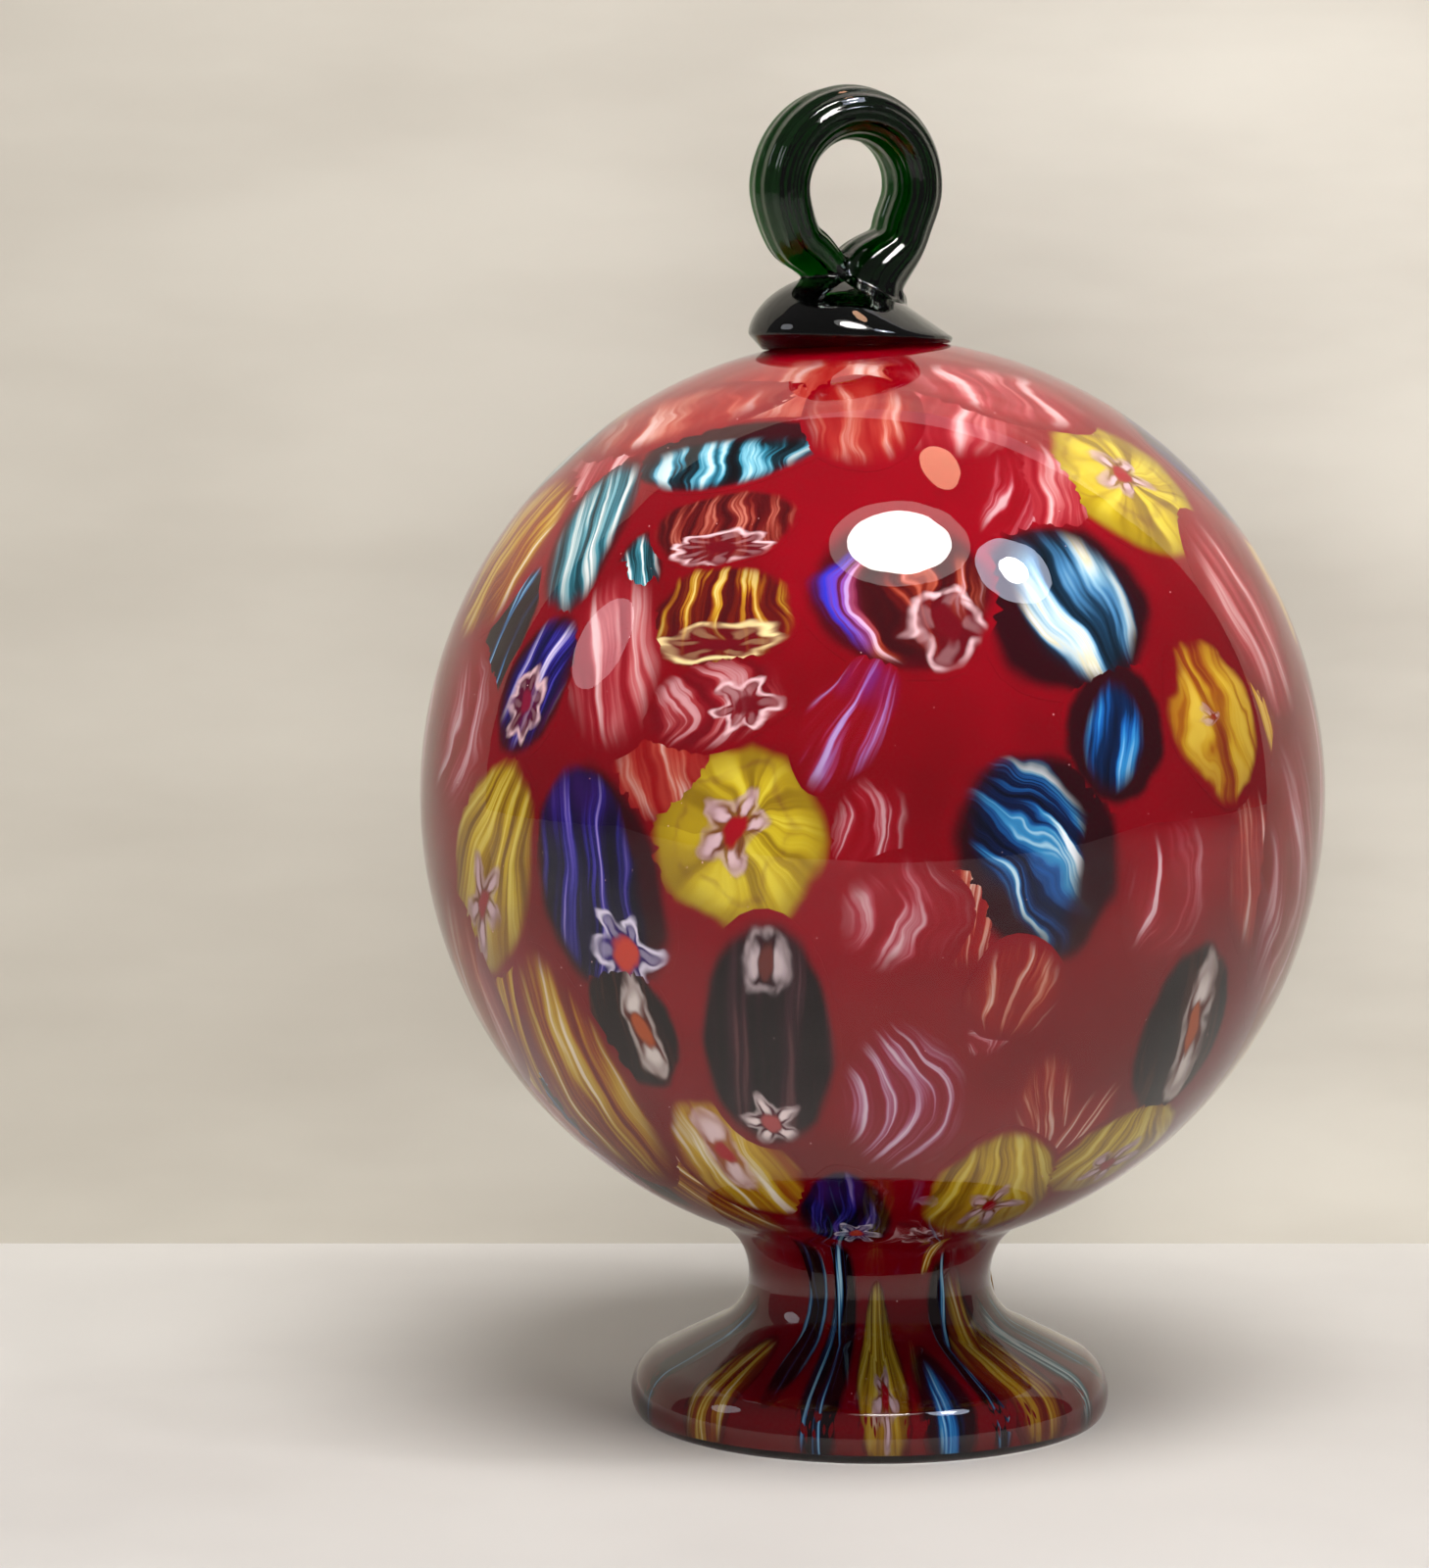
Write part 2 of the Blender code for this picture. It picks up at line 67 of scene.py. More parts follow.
def tint(code: str) -> Colour:
    """Linear colour of a hexadecimal screen colour.

    Args:
        code: Six hexadecimal digits.

    Returns:
        Linear red, green and blue.
    """
    shares = [int(code[start:start + 2], 16) / 255.0 for start in (0, 2, 4)]
    return tuple(s / 12.92 if s <= 0.04045 else ((s + 0.055) / 1.055) ** 2.4 for s in shares)


# Node trees written as formulas
def joined(operation: str, swapped: bool = False) -> Callable[["Wire", "Value"], "Wire"]:
    """Operator that joins a wire to another value with a Math node.

    Args:
        operation: Name of the node's operation.
        swapped: Whether the wire is the second of the two.

    Returns:
        A method for Wire.
    """
    def method(wire: "Wire", other: "Value") -> "Wire":
        """Add the Math node."""
        return wire.sheet.math(operation, *((other, wire) if swapped else (wire, other)))
    return method


class Wire:
    """A number that comes out of a node; arithmetic on it adds Math nodes."""

    def __init__(self, sheet: "Sheet", socket: bpy.types.NodeSocket) -> None:
        """Hold a socket of a tree."""
        self.sheet = sheet
        self.socket = socket

    __add__, __radd__ = joined("ADD"), joined("ADD", swapped=True)
    __sub__, __rsub__ = joined("SUBTRACT"), joined("SUBTRACT", swapped=True)
    __mul__, __rmul__ = joined("MULTIPLY"), joined("MULTIPLY", swapped=True)
    __truediv__ = joined("DIVIDE")


Value = Union[Wire, float]


class Sheet:
    """A node tree with short ways to add nodes and join them."""

    def __init__(self, tree: bpy.types.NodeTree) -> None:
        """Hold a tree that is already there."""
        self.tree = tree

    @classmethod
    def group(cls, name: str, kind: str) -> "Sheet":
        """Start a node group.

        Args:
            name: Name of the group.
            kind: "ShaderNodeTree" or "GeometryNodeTree".

        Returns:
            The empty group with its input and output nodes.
        """
        sheet = cls(bpy.data.node_groups.new(name, kind))
        sheet.entry = sheet.tree.nodes.new("NodeGroupInput")
        sheet.exit = sheet.tree.nodes.new("NodeGroupOutput")
        return sheet

    def receive(self, name: str, kind: str = "NodeSocketFloat", default: object = None) -> Wire:
        """Add a named input to the group.

        Args:
            name: Name of the input.
            kind: Type of its socket.
            default: Value that it has when nothing is given.

        Returns:
            The input, inside the group.
        """
        item = self.tree.interface.new_socket(name=name, in_out="INPUT", socket_type=kind)
        if default is not None:
            item.default_value = default
        return Wire(self, self.entry.outputs[name])

    def numbers(self, *names: str) -> list[Wire]:
        """Add one number input for each name."""
        return [self.receive(name) for name in names]

    def deliver(self, name: str, wire: Wire, kind: str = "NodeSocketFloat") -> None:
        """Add a named output to the group and feed it.

        Args:
            name: Name of the output.
            wire: What it gives.
            kind: Type of its socket.
        """
        self.tree.interface.new_socket(name=name, in_out="OUTPUT", socket_type=kind)
        self.feed(self.exit.inputs[name], wire)

    def deliver_numbers(self, **wires: Wire) -> None:
        """Add one number output for each named wire."""
        for name, wire in wires.items():
            self.deliver(name, wire)

    def feed(self, socket: bpy.types.NodeSocket, value: object) -> None:
        """Link a wire to a socket, or set the socket's own value.

        Args:
            socket: Input of a node.
            value: A wire or a plain value.
        """
        if isinstance(value, Wire):
            self.tree.links.new(value.socket, socket)
        else:
            socket.default_value = value

    def put(self, kind: str, inputs: Optional[dict] = None, **settings: object) -> bpy.types.Node:
        """Add a node.

        Args:
            kind: Its type.
            inputs: Values or wires by the name or number of the input.
            **settings: Properties of the node.

        Returns:
            The node.
        """
        node = self.tree.nodes.new(kind)
        for name, setting in settings.items():
            setattr(node, name, setting)
        for key, value in (inputs or {}).items():
            self.feed(node.inputs[key], value)
        return node

    def take(self, kind: str, output: Union[str, int], inputs: Optional[dict] = None,
             **settings: object) -> Wire:
        """Add a node and return one of its outputs as a wire."""
        return Wire(self, self.put(kind, inputs, **settings).outputs[output])

    def math(self, operation: str, first: Value, second: Value = 0.0) -> Wire:
        """One Math node."""
        return self.take("ShaderNodeMath", 0, {0: first, 1: second}, operation=operation)

    def reach(self, x: Value, y: Value) -> Wire:
        """Distance of a point from the middle."""
        return self.math("SQRT", x * x + y * y)

    def here(self) -> Wire:
        """Place on the piece, in object coordinates."""
        return self.take("ShaderNodeTexCoord", "Object")

    def turn(self, angle: Value) -> tuple[Wire, Wire]:
        """Cosine and sine."""
        return self.math("COSINE", angle), self.math("SINE", angle)

    def smooth(self, value: Value, start: Value, end: Value) -> Wire:
        """Smooth step that is 0 at start and 1 at end; start may be the higher."""
        inputs = {"Value": value, "From Min": start, "From Max": end}
        return self.take("ShaderNodeMapRange", "Result", inputs, interpolation_type="SMOOTHSTEP")

    def vector(self, x: Value, y: Value, z: Value) -> Wire:
        """Vector from three numbers."""
        return self.take("ShaderNodeCombineXYZ", 0, {0: x, 1: y, 2: z})

    def split(self, vector: Wire) -> tuple[Wire, Wire, Wire]:
        """Three numbers of a vector."""
        node = self.put("ShaderNodeSeparateXYZ", {0: vector})
        return tuple(Wire(self, output) for output in node.outputs)

    def vectors(self, operation: str, first: object, second: object = (0.0, 0.0, 0.0)) -> Wire:
        """One Vector Math node with a vector result."""
        return self.take("ShaderNodeVectorMath", 0, {0: first, 1: second}, operation=operation)

    def stretched(self, vector: Wire, scale: Value) -> Wire:
        """A vector times a number."""
        return self.take("ShaderNodeVectorMath", 0, {0: vector, "Scale": scale}, operation="SCALE")

    def mix(self, share: Value, first: object, second: object) -> Wire:
        """Mix of two colours; plain colours are given as three numbers.

        Args:
            share: Share of the second colour.
            first: Colour at 0.
            second: Colour at 1.

        Returns:
            The mixed colour.
        """
        ends = [c if isinstance(c, Wire) else (*c, 1.0) for c in (first, second)]
        return self.take("ShaderNodeMix", 2, {0: share, 6: ends[0], 7: ends[1]}, data_type="RGBA",
                         clamp_factor=True)

    def noise(self, vector: Wire, scale: Value, detail: float = 2.0, output: int = 0) -> Wire:
        """Noise from 0 to 1, as a number (output 0) or a colour (output 1)."""
        return self.take("ShaderNodeTexNoise", output, {"Vector": vector, "Scale": scale, "Detail": detail})

    def grouped(self, group: "Sheet", inputs: Optional[dict] = None) -> dict[str, Wire]:
        """Place a node group.

        Args:
            group: The group's sheet.
            inputs: Values or wires by name.

        Returns:
            The group's outputs by name.
        """
        kind = self.tree.bl_idname.replace("NodeTree", "NodeGroup")
        node = self.put(kind, inputs, node_tree=group.tree)
        return {output.name: Wire(self, output) for output in node.outputs}

    def end(self, socket: str, wire: Wire) -> None:
        """Feed a socket of the material's output."""
        output = next(node for node in self.tree.nodes if node.type == "OUTPUT_MATERIAL")
        self.feed(output.inputs[socket], wire)

    def vanish(self, shader: bpy.types.Node, where: Wire) -> None:
        """End the material, clear to the rays or faces that a mask picks out.

        Args:
            shader: Shader that is seen elsewhere.
            where: The mask.
        """
        through = self.take("ShaderNodeBsdfTransparent", 0)
        self.end("Surface", self.take("ShaderNodeMixShader", 0, {
            0: where, 1: Wire(self, shader.outputs[0]), 2: through}))


# Mesh helpers
def as_object(name: str, mesh: bpy.types.Mesh) -> bpy.types.Object:
    """Put a mesh into the scene as an object at the origin.

    Args:
        name: Name of the object.
        mesh: Its mesh.

    Returns:
        The object.
    """
    thing = bpy.data.objects.new(name, mesh)
    bpy.context.scene.collection.objects.link(thing)
    return thing


def guide_line(points: list[Vector], **widths: list[float]) -> bpy.types.Mesh:
    """Open line of points, for a geometry tree to follow.

    Args:
        points: Places along the line.
        **widths: Named numbers, one for each point.

    Returns:
        A mesh of points and edges.
    """
    mesh = bpy.data.meshes.new("guide")
    mesh.from_pydata([tuple(p) for p in points], [(i, i + 1) for i in range(len(points) - 1)], [])
    for name, values in widths.items():
        mesh.attributes.new(name, "FLOAT", "POINT").data.foreach_set("value", values)
    return mesh


def clean(mesh: bpy.types.Mesh) -> None:
    """Merge doubled points, turn all faces outwards and shade smooth.

    Args:
        mesh: Closed mesh, changed in place.
    """
    bm = bmesh.new()
    bm.from_mesh(mesh)
    bmesh.ops.remove_doubles(bm, verts=bm.verts, dist=MERGE)
    bmesh.ops.dissolve_degenerate(bm, edges=bm.edges, dist=MERGE)
    bmesh.ops.recalc_face_normals(bm, faces=bm.faces)
    bm.to_mesh(mesh)
    bm.free()
    mesh.shade_smooth()
    mesh.set_sharp_from_angle(angle=SHARP)


def baked(name: str, source: bpy.types.Object) -> bpy.types.Object:
    """Plain clean mesh object from an object's modifiers.

    Args:
        name: Name of the new object.
        source: Object with live modifiers; it is removed.

    Returns:
        The plain object, at the origin.
    """
    graph = bpy.context.evaluated_depsgraph_get()
    mesh = bpy.data.meshes.new_from_object(source.evaluated_get(graph), depsgraph=graph)
    bpy.data.objects.remove(source, do_unlink=True)
    mesh.name = name
    clean(mesh)
    return as_object(name, mesh)


def grown(name: str, tree: Sheet, guide: bpy.types.Mesh, values: dict[str, object]) -> bpy.types.Object:
    """Run a geometry tree on a guide and keep the result as a plain mesh.

    Args:
        name: Name of the piece.
        tree: The geometry tree.
        guide: Mesh that goes into it.
        values: Input values by name.

    Returns:
        The plain object.
    """
    source = as_object(name + "_guide", guide)
    modifier = source.modifiers.new("grow", "NODES")
    modifier.node_group = tree.tree
    for item in tree.tree.interface.items_tree:
        if item.in_out == "INPUT" and item.name in values:
            modifier[item.identifier] = values[item.name]
    source.update_tag()
    return baked(name, source)


# The outline that every layer follows
@dataclass(frozen=True)
class GlobeSizes:
    """Sizes of the outer glass surface."""

    radius: float = 49.5 * MM
    half_height: float = 50.0 * MM
    foot_height: float = 18.7 * MM
    waist_radius: float = 13.4 * MM
    waist_drop: float = 3.1 * MM
    cove_radius: float = 6.0 * MM
    foot_radius: float = 26.5 * MM
    edge_height: float = 2.4 * MM
    edge_round: float = 4.7 * MM
    undercut: float = 1.2 * MM
    recess: float = 1.0 * MM
    dish: float = 2.2 * MM
    core_depth: float = 2.5 * MM
    facet_sag: float = 0.015 * MM
    rest_ring: float = 1.5 * MM
    bevel_ring: float = 2.1 * MM
    bevel_height: float = 0.25 * MM
    dish_ring: float = 2.8 * MM
    dish_drop: float = 0.5 * MM

    @property
    def middle(self) -> float:
        """Height of the globe's middle."""
        return self.foot_height + self.half_height

    @property
    def top(self) -> float:
        """Height of the globe's top."""
        return self.foot_height + 2 * self.half_height


Station = tuple[Vector, Vector]


class Outline:
    """Half section of the glass, from the top of the globe down to the table."""

    GLOBE_STEPS, NECK_STEPS, FOOT_STEPS, UNDER_STEPS, DISH_STEPS = 110, 18, 14, 8, 12
    HALVINGS = 60                                                     # of the search for the joint
    JOINT_ANGLES = (math.radians(-89.0), math.radians(-20.0))         # the neck leaves the globe between them
    DROP = (0.35, 0.7, 1.0)                                           # stations down the core's lower edge

    def __init__(self, sizes: GlobeSizes) -> None:
        """Work out the stretches once."""
        self.sizes = sizes
        self.globe, self.lower, self.under = self._stretches()

    @staticmethod
    def arc(middle: tuple[float, float], radii: tuple[float, float], start: float, end: float,
            steps: int, hollow: bool = False) -> list[Station]:
        """Stations along part of an ellipse.

        Args:
            middle: Its middle as (r, z).
            radii: Its two radii.
            start: First angle, from outward towards up.
            end: Last angle.
            steps: Number of stretches between stations.
            hollow: Whether the glass is on the outside of it.

        Returns:
            Points, each with the outward normal.
        """
        stations = []
        for step in range(steps + 1):
            angle = start + (end - start) * step / steps
            c, s = math.cos(angle), math.sin(angle)
            normal = Vector((c / radii[0], s / radii[1])).normalized()
            point = Vector((middle[0] + radii[0] * c, middle[1] + radii[1] * s))
            stations.append((point, -normal if hollow else normal))
        return stations

    def _stretches(self) -> tuple[list[Station], list[Station], list[Station]]:
        """Globe, neck with foot, and the turn under the edge.

        Returns:
            Stations of the three stretches.
        """
        z = self.sizes
        middle, radii = (0.0, z.middle), (z.radius, z.half_height)
        waist = z.foot_height - z.waist_drop
        low, high = self.JOINT_ANGLES
        for _ in range(self.HALVINGS):
            angle = (low + high) / 2
            point, normal = self.arc(middle, radii, angle, angle, 1)[0]
            fillet = (point.y - waist) / -normal.y
            if point.x + fillet * normal.x - fillet > z.waist_radius:
                high = angle
            else:
                low = angle
        globe = self.arc(middle, radii, math.pi / 2, angle, self.GLOBE_STEPS)
        neck = self.arc((z.waist_radius + fillet, waist), (fillet, fillet),
                        math.atan2(-normal.y, -normal.x), math.pi, self.NECK_STEPS, hollow=True)
        cove = Vector((z.waist_radius + z.cove_radius, waist))
        edge = Vector((z.foot_radius - z.edge_round, z.edge_height))
        across = edge - cove
        slope = math.atan2(across.x, across.y) - math.acos(-(z.cove_radius + z.edge_round) / across.length)
        foot = self.arc(cove, (z.cove_radius,) * 2, math.pi, 1.5 * math.pi - slope, self.FOOT_STEPS,
                        hollow=True)
        foot += self.arc(edge, (z.edge_round,) * 2, math.pi / 2 - slope, 0.0, self.FOOT_STEPS)
        under = self.arc((z.foot_radius - z.undercut, z.edge_height), (z.undercut, z.edge_height),
                         0.0, -math.pi / 2, self.UNDER_STEPS)
        return globe, neck[1:] + foot[1:], under[1:]

    def dish(self, edge: float, lift: float) -> list[Vector]:
        """Hollow underside of the foot.

        Args:
            edge: Radius that it starts from, on its way in to the axis.
            lift: Height above the recess.

        Returns:
            Its section.
        """
        z = self.sizes
        shares = [1.0 - step / self.DISH_STEPS for step in range(self.DISH_STEPS + 1)]
        return [Vector((edge * s, 0.0, z.recess + lift + z.dish * (1.0 - s ** 2))) for s in shares]

    def outside(self) -> list[Vector]:
        """Closed section of the clear glass.

        Returns:
            Its points, from the top of the globe round to the axis below.
        """
        z = self.sizes
        points = [p - n * z.facet_sag for p, n in self.globe]
        points += [p for p, _ in self.lower + self.under]
        ring = z.foot_radius - z.undercut
        line = [Vector((p.x, 0.0, p.y)) for p in points]
        line[0].x = 0.0
        line += [Vector((ring - z.rest_ring, 0.0, 0.0)), Vector((ring - z.bevel_ring, 0.0, z.bevel_height))]
        return line + self.dish(ring - z.dish_ring, -z.dish_drop)

    def ruby_side(self) -> list[Vector]:
        """Outer face of the ruby layer, from the top down to the lower edge of the foot.

        Returns:
            Points in the upright plane.
        """
        depth = self.sizes.core_depth
        line = []
        for p, n in self.globe + self.lower:
            s = p - depth * n
            line.append(Vector((max(s.x, 0.0), 0.0, s.y)))
        line[0].x = 0.0
        drop = line[-1].z - self.sizes.recess
        line += [Vector((line[-1].x, 0.0, line[-1].z - drop * share)) for share in self.DROP]
        return line


@dataclass(frozen=True)
class Hung:
    """CAD nodes that a piece stands for, and its material slot, which is only logged."""

    slot: str
    stands_for: tuple[str, ...] = ()


def hang(piece: bpy.types.Object, tie: Hung) -> bpy.types.Object:
    """Let a finished piece ride on the one body, hide the CAD nodes that it stands for and log its slot.

    Args:
        piece: The plain mesh object.
        tie: Its material slot and the CAD nodes that it stands for.

    Returns:
        The piece.
    """
    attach(piece, "root")
    if tie.stands_for:
        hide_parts(*tie.stands_for)
    LOG.info("%s: %d faces, slot %s", piece.name, len(piece.data.polygons), tie.slot)
    return piece


# Geometry trees
def begin_tree(name: str) -> tuple[Sheet, Wire]:
    """Open a geometry tree and give it with the geometry that comes in."""
    tree = Sheet.group(name, "GeometryNodeTree")
    return tree, tree.receive("Geometry", "NodeSocketGeometry")


def finish_tree(tree: Sheet, geometry: Wire, merge: float = 0.001 * MM) -> None:
    """Close a geometry tree: merge seams, shade, realize and dress.

    Args:
        tree: The tree.
        geometry: What it has made.
        merge: Distance under which two points become one.
    """
    material = tree.receive("Material", "NodeSocketMaterial")
    merged = tree.take("GeometryNodeMergeByDistance", 0, {"Geometry": geometry, "Distance": merge})
    smooth = tree.take("GeometryNodeSetShadeSmooth", 0, {0: merged})
    real = tree.take("GeometryNodeRealizeInstances", 0, {0: smooth})
    dressed = tree.take("GeometryNodeSetMaterial", 0, {0: real, "Material": material})
    tree.deliver("Geometry", dressed, "NodeSocketGeometry")


def laid_grid(tree: Sheet, columns: Value, rows: Value) -> tuple[Wire, Wire, Wire]:
    """Grid that a tree bends into its shape.

    Args:
        tree: The tree.
        columns: Points across.
        rows: Points down.

    Returns:
        The grid, and each point's shares (0 to 1) along columns and rows.
    """
    grid = tree.take("GeometryNodeMeshGrid", 0, {
        "Size X": 1.0, "Size Y": 1.0, "Vertices X": columns, "Vertices Y": rows})
    x, y, _ = tree.split(tree.take("GeometryNodeInputPosition", 0))
    return grid, x + 0.5, y + 0.5


def place(tree: Sheet, geometry: Wire, position: Wire) -> Wire:
    """Move every point of a geometry to a position."""
    return tree.take("GeometryNodeSetPosition", 0, {"Geometry": geometry, "Position": position})


def stored(tree: Sheet, geometry: Wire, name: str, value: object, kind: str = "FLOAT",
           domain: str = "POINT") -> Wire:
    """Keep a value on the geometry under a name."""
    return tree.take("GeometryNodeStoreNamedAttribute", 0, {
        "Geometry": geometry, "Name": name, "Value": value}, data_type=kind, domain=domain)


def turned_tree() -> Sheet:
    """Tree that turns a half section round the upright axis, point by point.

    Returns:
        The tree.
    """
    tree, line = begin_tree("turned_glass")
    sectors = tree.receive("Sectors", "NodeSocketInt")
    count = tree.take("GeometryNodeAttributeDomainSize", "Point Count", {0: line}, component="MESH")
    grid, across, down = laid_grid(tree, sectors + 1.0, count)
    row = tree.math("ROUND", down * (count - 1.0))
    point = tree.take("GeometryNodeSampleIndex", 0, {
        0: line, "Value": tree.take("GeometryNodeInputPosition", 0), "Index": row}, data_type="FLOAT_VECTOR")
    radius, _, height = tree.split(point)
    cosine, sine = tree.turn(across * TURN)
    finish_tree(tree, place(tree, grid, tree.vector(radius * cosine, radius * sine, height)))
    return tree


def slice_tree() -> Sheet:
    """Tree that lays one round or oval lens of glass on the half section it is given.

    Returns:
        The tree.
    """
    tree, line = begin_tree("laid_slice")
    bearing, middle, half_width, half_length = tree.numbers("Bearing", "Middle", "Half Width", "Half Length")
    lean, rise, sink, proud = tree.numbers("Lean", "Rise", "Sink", "Proud")
    flare, seed, wobble = tree.numbers("Flare", "Seed", "Wobble")
    grid, around, out = laid_grid(tree, SLICE_COLUMNS, SLICE_ROWS)
    row = out * (SLICE_ROWS - 1)
    under = tree.math("GREATER_THAN", row, SLICE_TOP + 0.5)
    centre = tree.math("GREATER_THAN", row, SLICE_TOP + 1.5)
    share = tree.math("MINIMUM", row / SLICE_TOP, 1.0) * (1.0 - centre)
    cosine, sine = tree.turn(around * TURN)
    across, along = share * cosine, share * sine
    bulge = 1.0 + wobble * share * (tree.noise(tree.vector(cosine, sine, seed), 0.8, 1.0) - 0.5)
    lean_cos, lean_sin = tree.turn(lean)
    east = bulge * (across * half_width * lean_cos + along * half_length * lean_sin)
    north = bulge * (along * half_length * lean_cos - across * half_width * lean_sin)
    curve = tree.take("GeometryNodeMeshToCurve", 0, {0: line})
    sample = tree.put("GeometryNodeSampleCurve", {"Curves": curve, "Length": middle - north}, mode="LENGTH")
    radius, _, height = tree.split(Wire(tree, sample.outputs["Position"]))
    out_way, _, down_way = tree.split(Wire(tree, sample.outputs["Tangent"]))
    lift = proud + rise * (1.0 - share * share)
    lift = lift * (1.0 - under) - sink * under
    radius_there = radius - down_way * lift
    height_there = height + out_way * lift
    spread = radius + (flare - radius) * tree.math("GREATER_THAN", flare, 0.0)
    cos_b, sin_b = tree.turn(bearing + east / spread)
    flat_place = tree.vector(across * 0.5 + 0.5, along * 0.5 + 0.5, 0.0)
    grid = stored(tree, grid, "UVMap", flat_place, "FLOAT2", "CORNER")
    grid = stored(tree, grid, "cane_seed", seed)
    finish_tree(tree, place(
        tree, grid, tree.vector(radius_there * sin_b, -1.0 * (radius_there * cos_b), height_there)))
    return tree


def rod_tree() -> Sheet:
    """Tree that sweeps a ribbed oval rod along a line with half_width and half_depth on its points.

    Returns:
        The tree.
    """
    tree, line = begin_tree("pulled_rod")
    eye_way = tree.receive("Eye Way", "NodeSocketVector")
    ribs, rib_height = tree.receive("Ribs", "NodeSocketInt"), tree.receive("Rib Height")
    count = tree.take("GeometryNodeAttributeDomainSize", "Point Count", {0: line}, component="MESH")
    grid, around, along = laid_grid(tree, ROD_COLUMNS, count)
    row = tree.math("ROUND", along * (count - 1.0))
    position = tree.take("GeometryNodeInputPosition", 0)

    def at(index: Wire, value: Wire, kind: str) -> Wire:
        """Value of the line at one of its points."""
        return tree.take("GeometryNodeSampleIndex", 0, {
            0: line, "Value": value, "Index": index}, data_type=kind, clamp=True)

    def width_at(name: str) -> Wire:
        """Named width of the line at this row."""
        named = tree.take("GeometryNodeInputNamedAttribute", 0, {"Name": name}, data_type="FLOAT")
        return at(row, named, "FLOAT")

    centre = at(row, position, "FLOAT_VECTOR")
    after, before = (at(row + step, position, "FLOAT_VECTOR") for step in (1.0, -1.0))
    ahead = tree.vectors("SUBTRACT", after, before)
    outward = tree.vectors("NORMALIZE", tree.vectors("CROSS_PRODUCT", ahead, eye_way))
    angle = around * TURN
    cosine, sine = tree.turn(angle)
    half_width, half_depth = width_at("half_width"), width_at("half_depth")
    cut = (tree.math("COSINE", angle * ribs) - 1.0) * rib_height
    ridge = cut * tree.math("MINIMUM", half_width / (2.0 * MM), 1.0)
    offset = tree.vectors(
        "ADD", tree.stretched(outward, cosine * (half_width + ridge)),
        tree.stretched(eye_way, sine * (half_depth + ridge)))
    finish_tree(tree, place(tree, grid, tree.vectors("ADD", centre, offset)))
    return tree


def bubble_tree() -> Sheet:
    """Tree that scatters tiny closed bubbles over the half-way depth of the casing.

    Returns:
        The tree.
    """
    tree, skin = begin_tree("seed_bubbles")
    density, smallest, largest = tree.numbers("Density", "Smallest", "Largest")
    seed = tree.receive("Seed", "NodeSocketInt")
    points = tree.take("GeometryNodeDistributePointsOnFaces", 0, {
        "Mesh": skin, "Density": density, "Seed": seed})
    ball = tree.take("GeometryNodeMeshIcoSphere", 0, {"Radius": 1.0, "Subdivisions": 1})
    size = tree.put("FunctionNodeRandomValue", {"Seed": seed}, data_type="FLOAT")
    tree.feed(size.inputs[2], smallest)
    tree.feed(size.inputs[3], largest)
    scattered = tree.take("GeometryNodeInstanceOnPoints", 0, {
        "Points": points, "Instance": ball, "Scale": Wire(tree, size.outputs[1])})
    finish_tree(tree, scattered, 0.0)
    return tree


# Shader groups
def ruby_group() -> Sheet:
    """Colour of the ruby layer: deep, saturated, with slow darker and fierier swirls, and painted shade on
    the neck and foot.

    Returns:
        The group, with a colour that carries the painted shade on the neck and foot, and how deep that
        painted shade is.
    """
    sheet = Sheet.group("ruby_ground", "ShaderNodeTree")
    deep = sheet.receive("Deep", "NodeSocketColor", (*tint("680009"), 1.0))
    warm = sheet.receive("Warm", "NodeSocketColor", (*tint("7e0010"), 1.0))
    place_here = sheet.here()
    drift = sheet.noise(place_here, 34.0, 3.0)
    streak = sheet.noise(sheet.vectors("MULTIPLY", place_here, (60.0, 60.0, 22.0)), 1.0, 2.0)
    base = sheet.mix(sheet.smooth(drift, 0.3, 0.7), deep, warm)
    height = sheet.split(place_here)[2]
    low, high, dimmest = FOOT_SHADE
    # painted shade: the neck and foot grow darker towards the table, where the globe shades them
    foot_shade_factor = sheet.smooth(height, low, high) * (1.0 - dimmest) + dimmest
    # darker streaks in the glass, times the painted shade on the foot
    dark = (sheet.smooth(streak, 0.72, 0.5) * 0.12 + 0.88) * foot_shade_factor
    grey = sheet.take("ShaderNodeCombineColor", 0, {0: dark, 1: dark, 2: dark})
    shaded = sheet.take("ShaderNodeMix", 2, {0: 1.0, 6: base, 7: grey}, data_type="RGBA",
                        blend_type="MULTIPLY")
    sheet.deliver("Color", shaded, "NodeSocketColor")
    sheet.deliver("Foot Shade", 1.0 - foot_shade_factor)
    return sheet


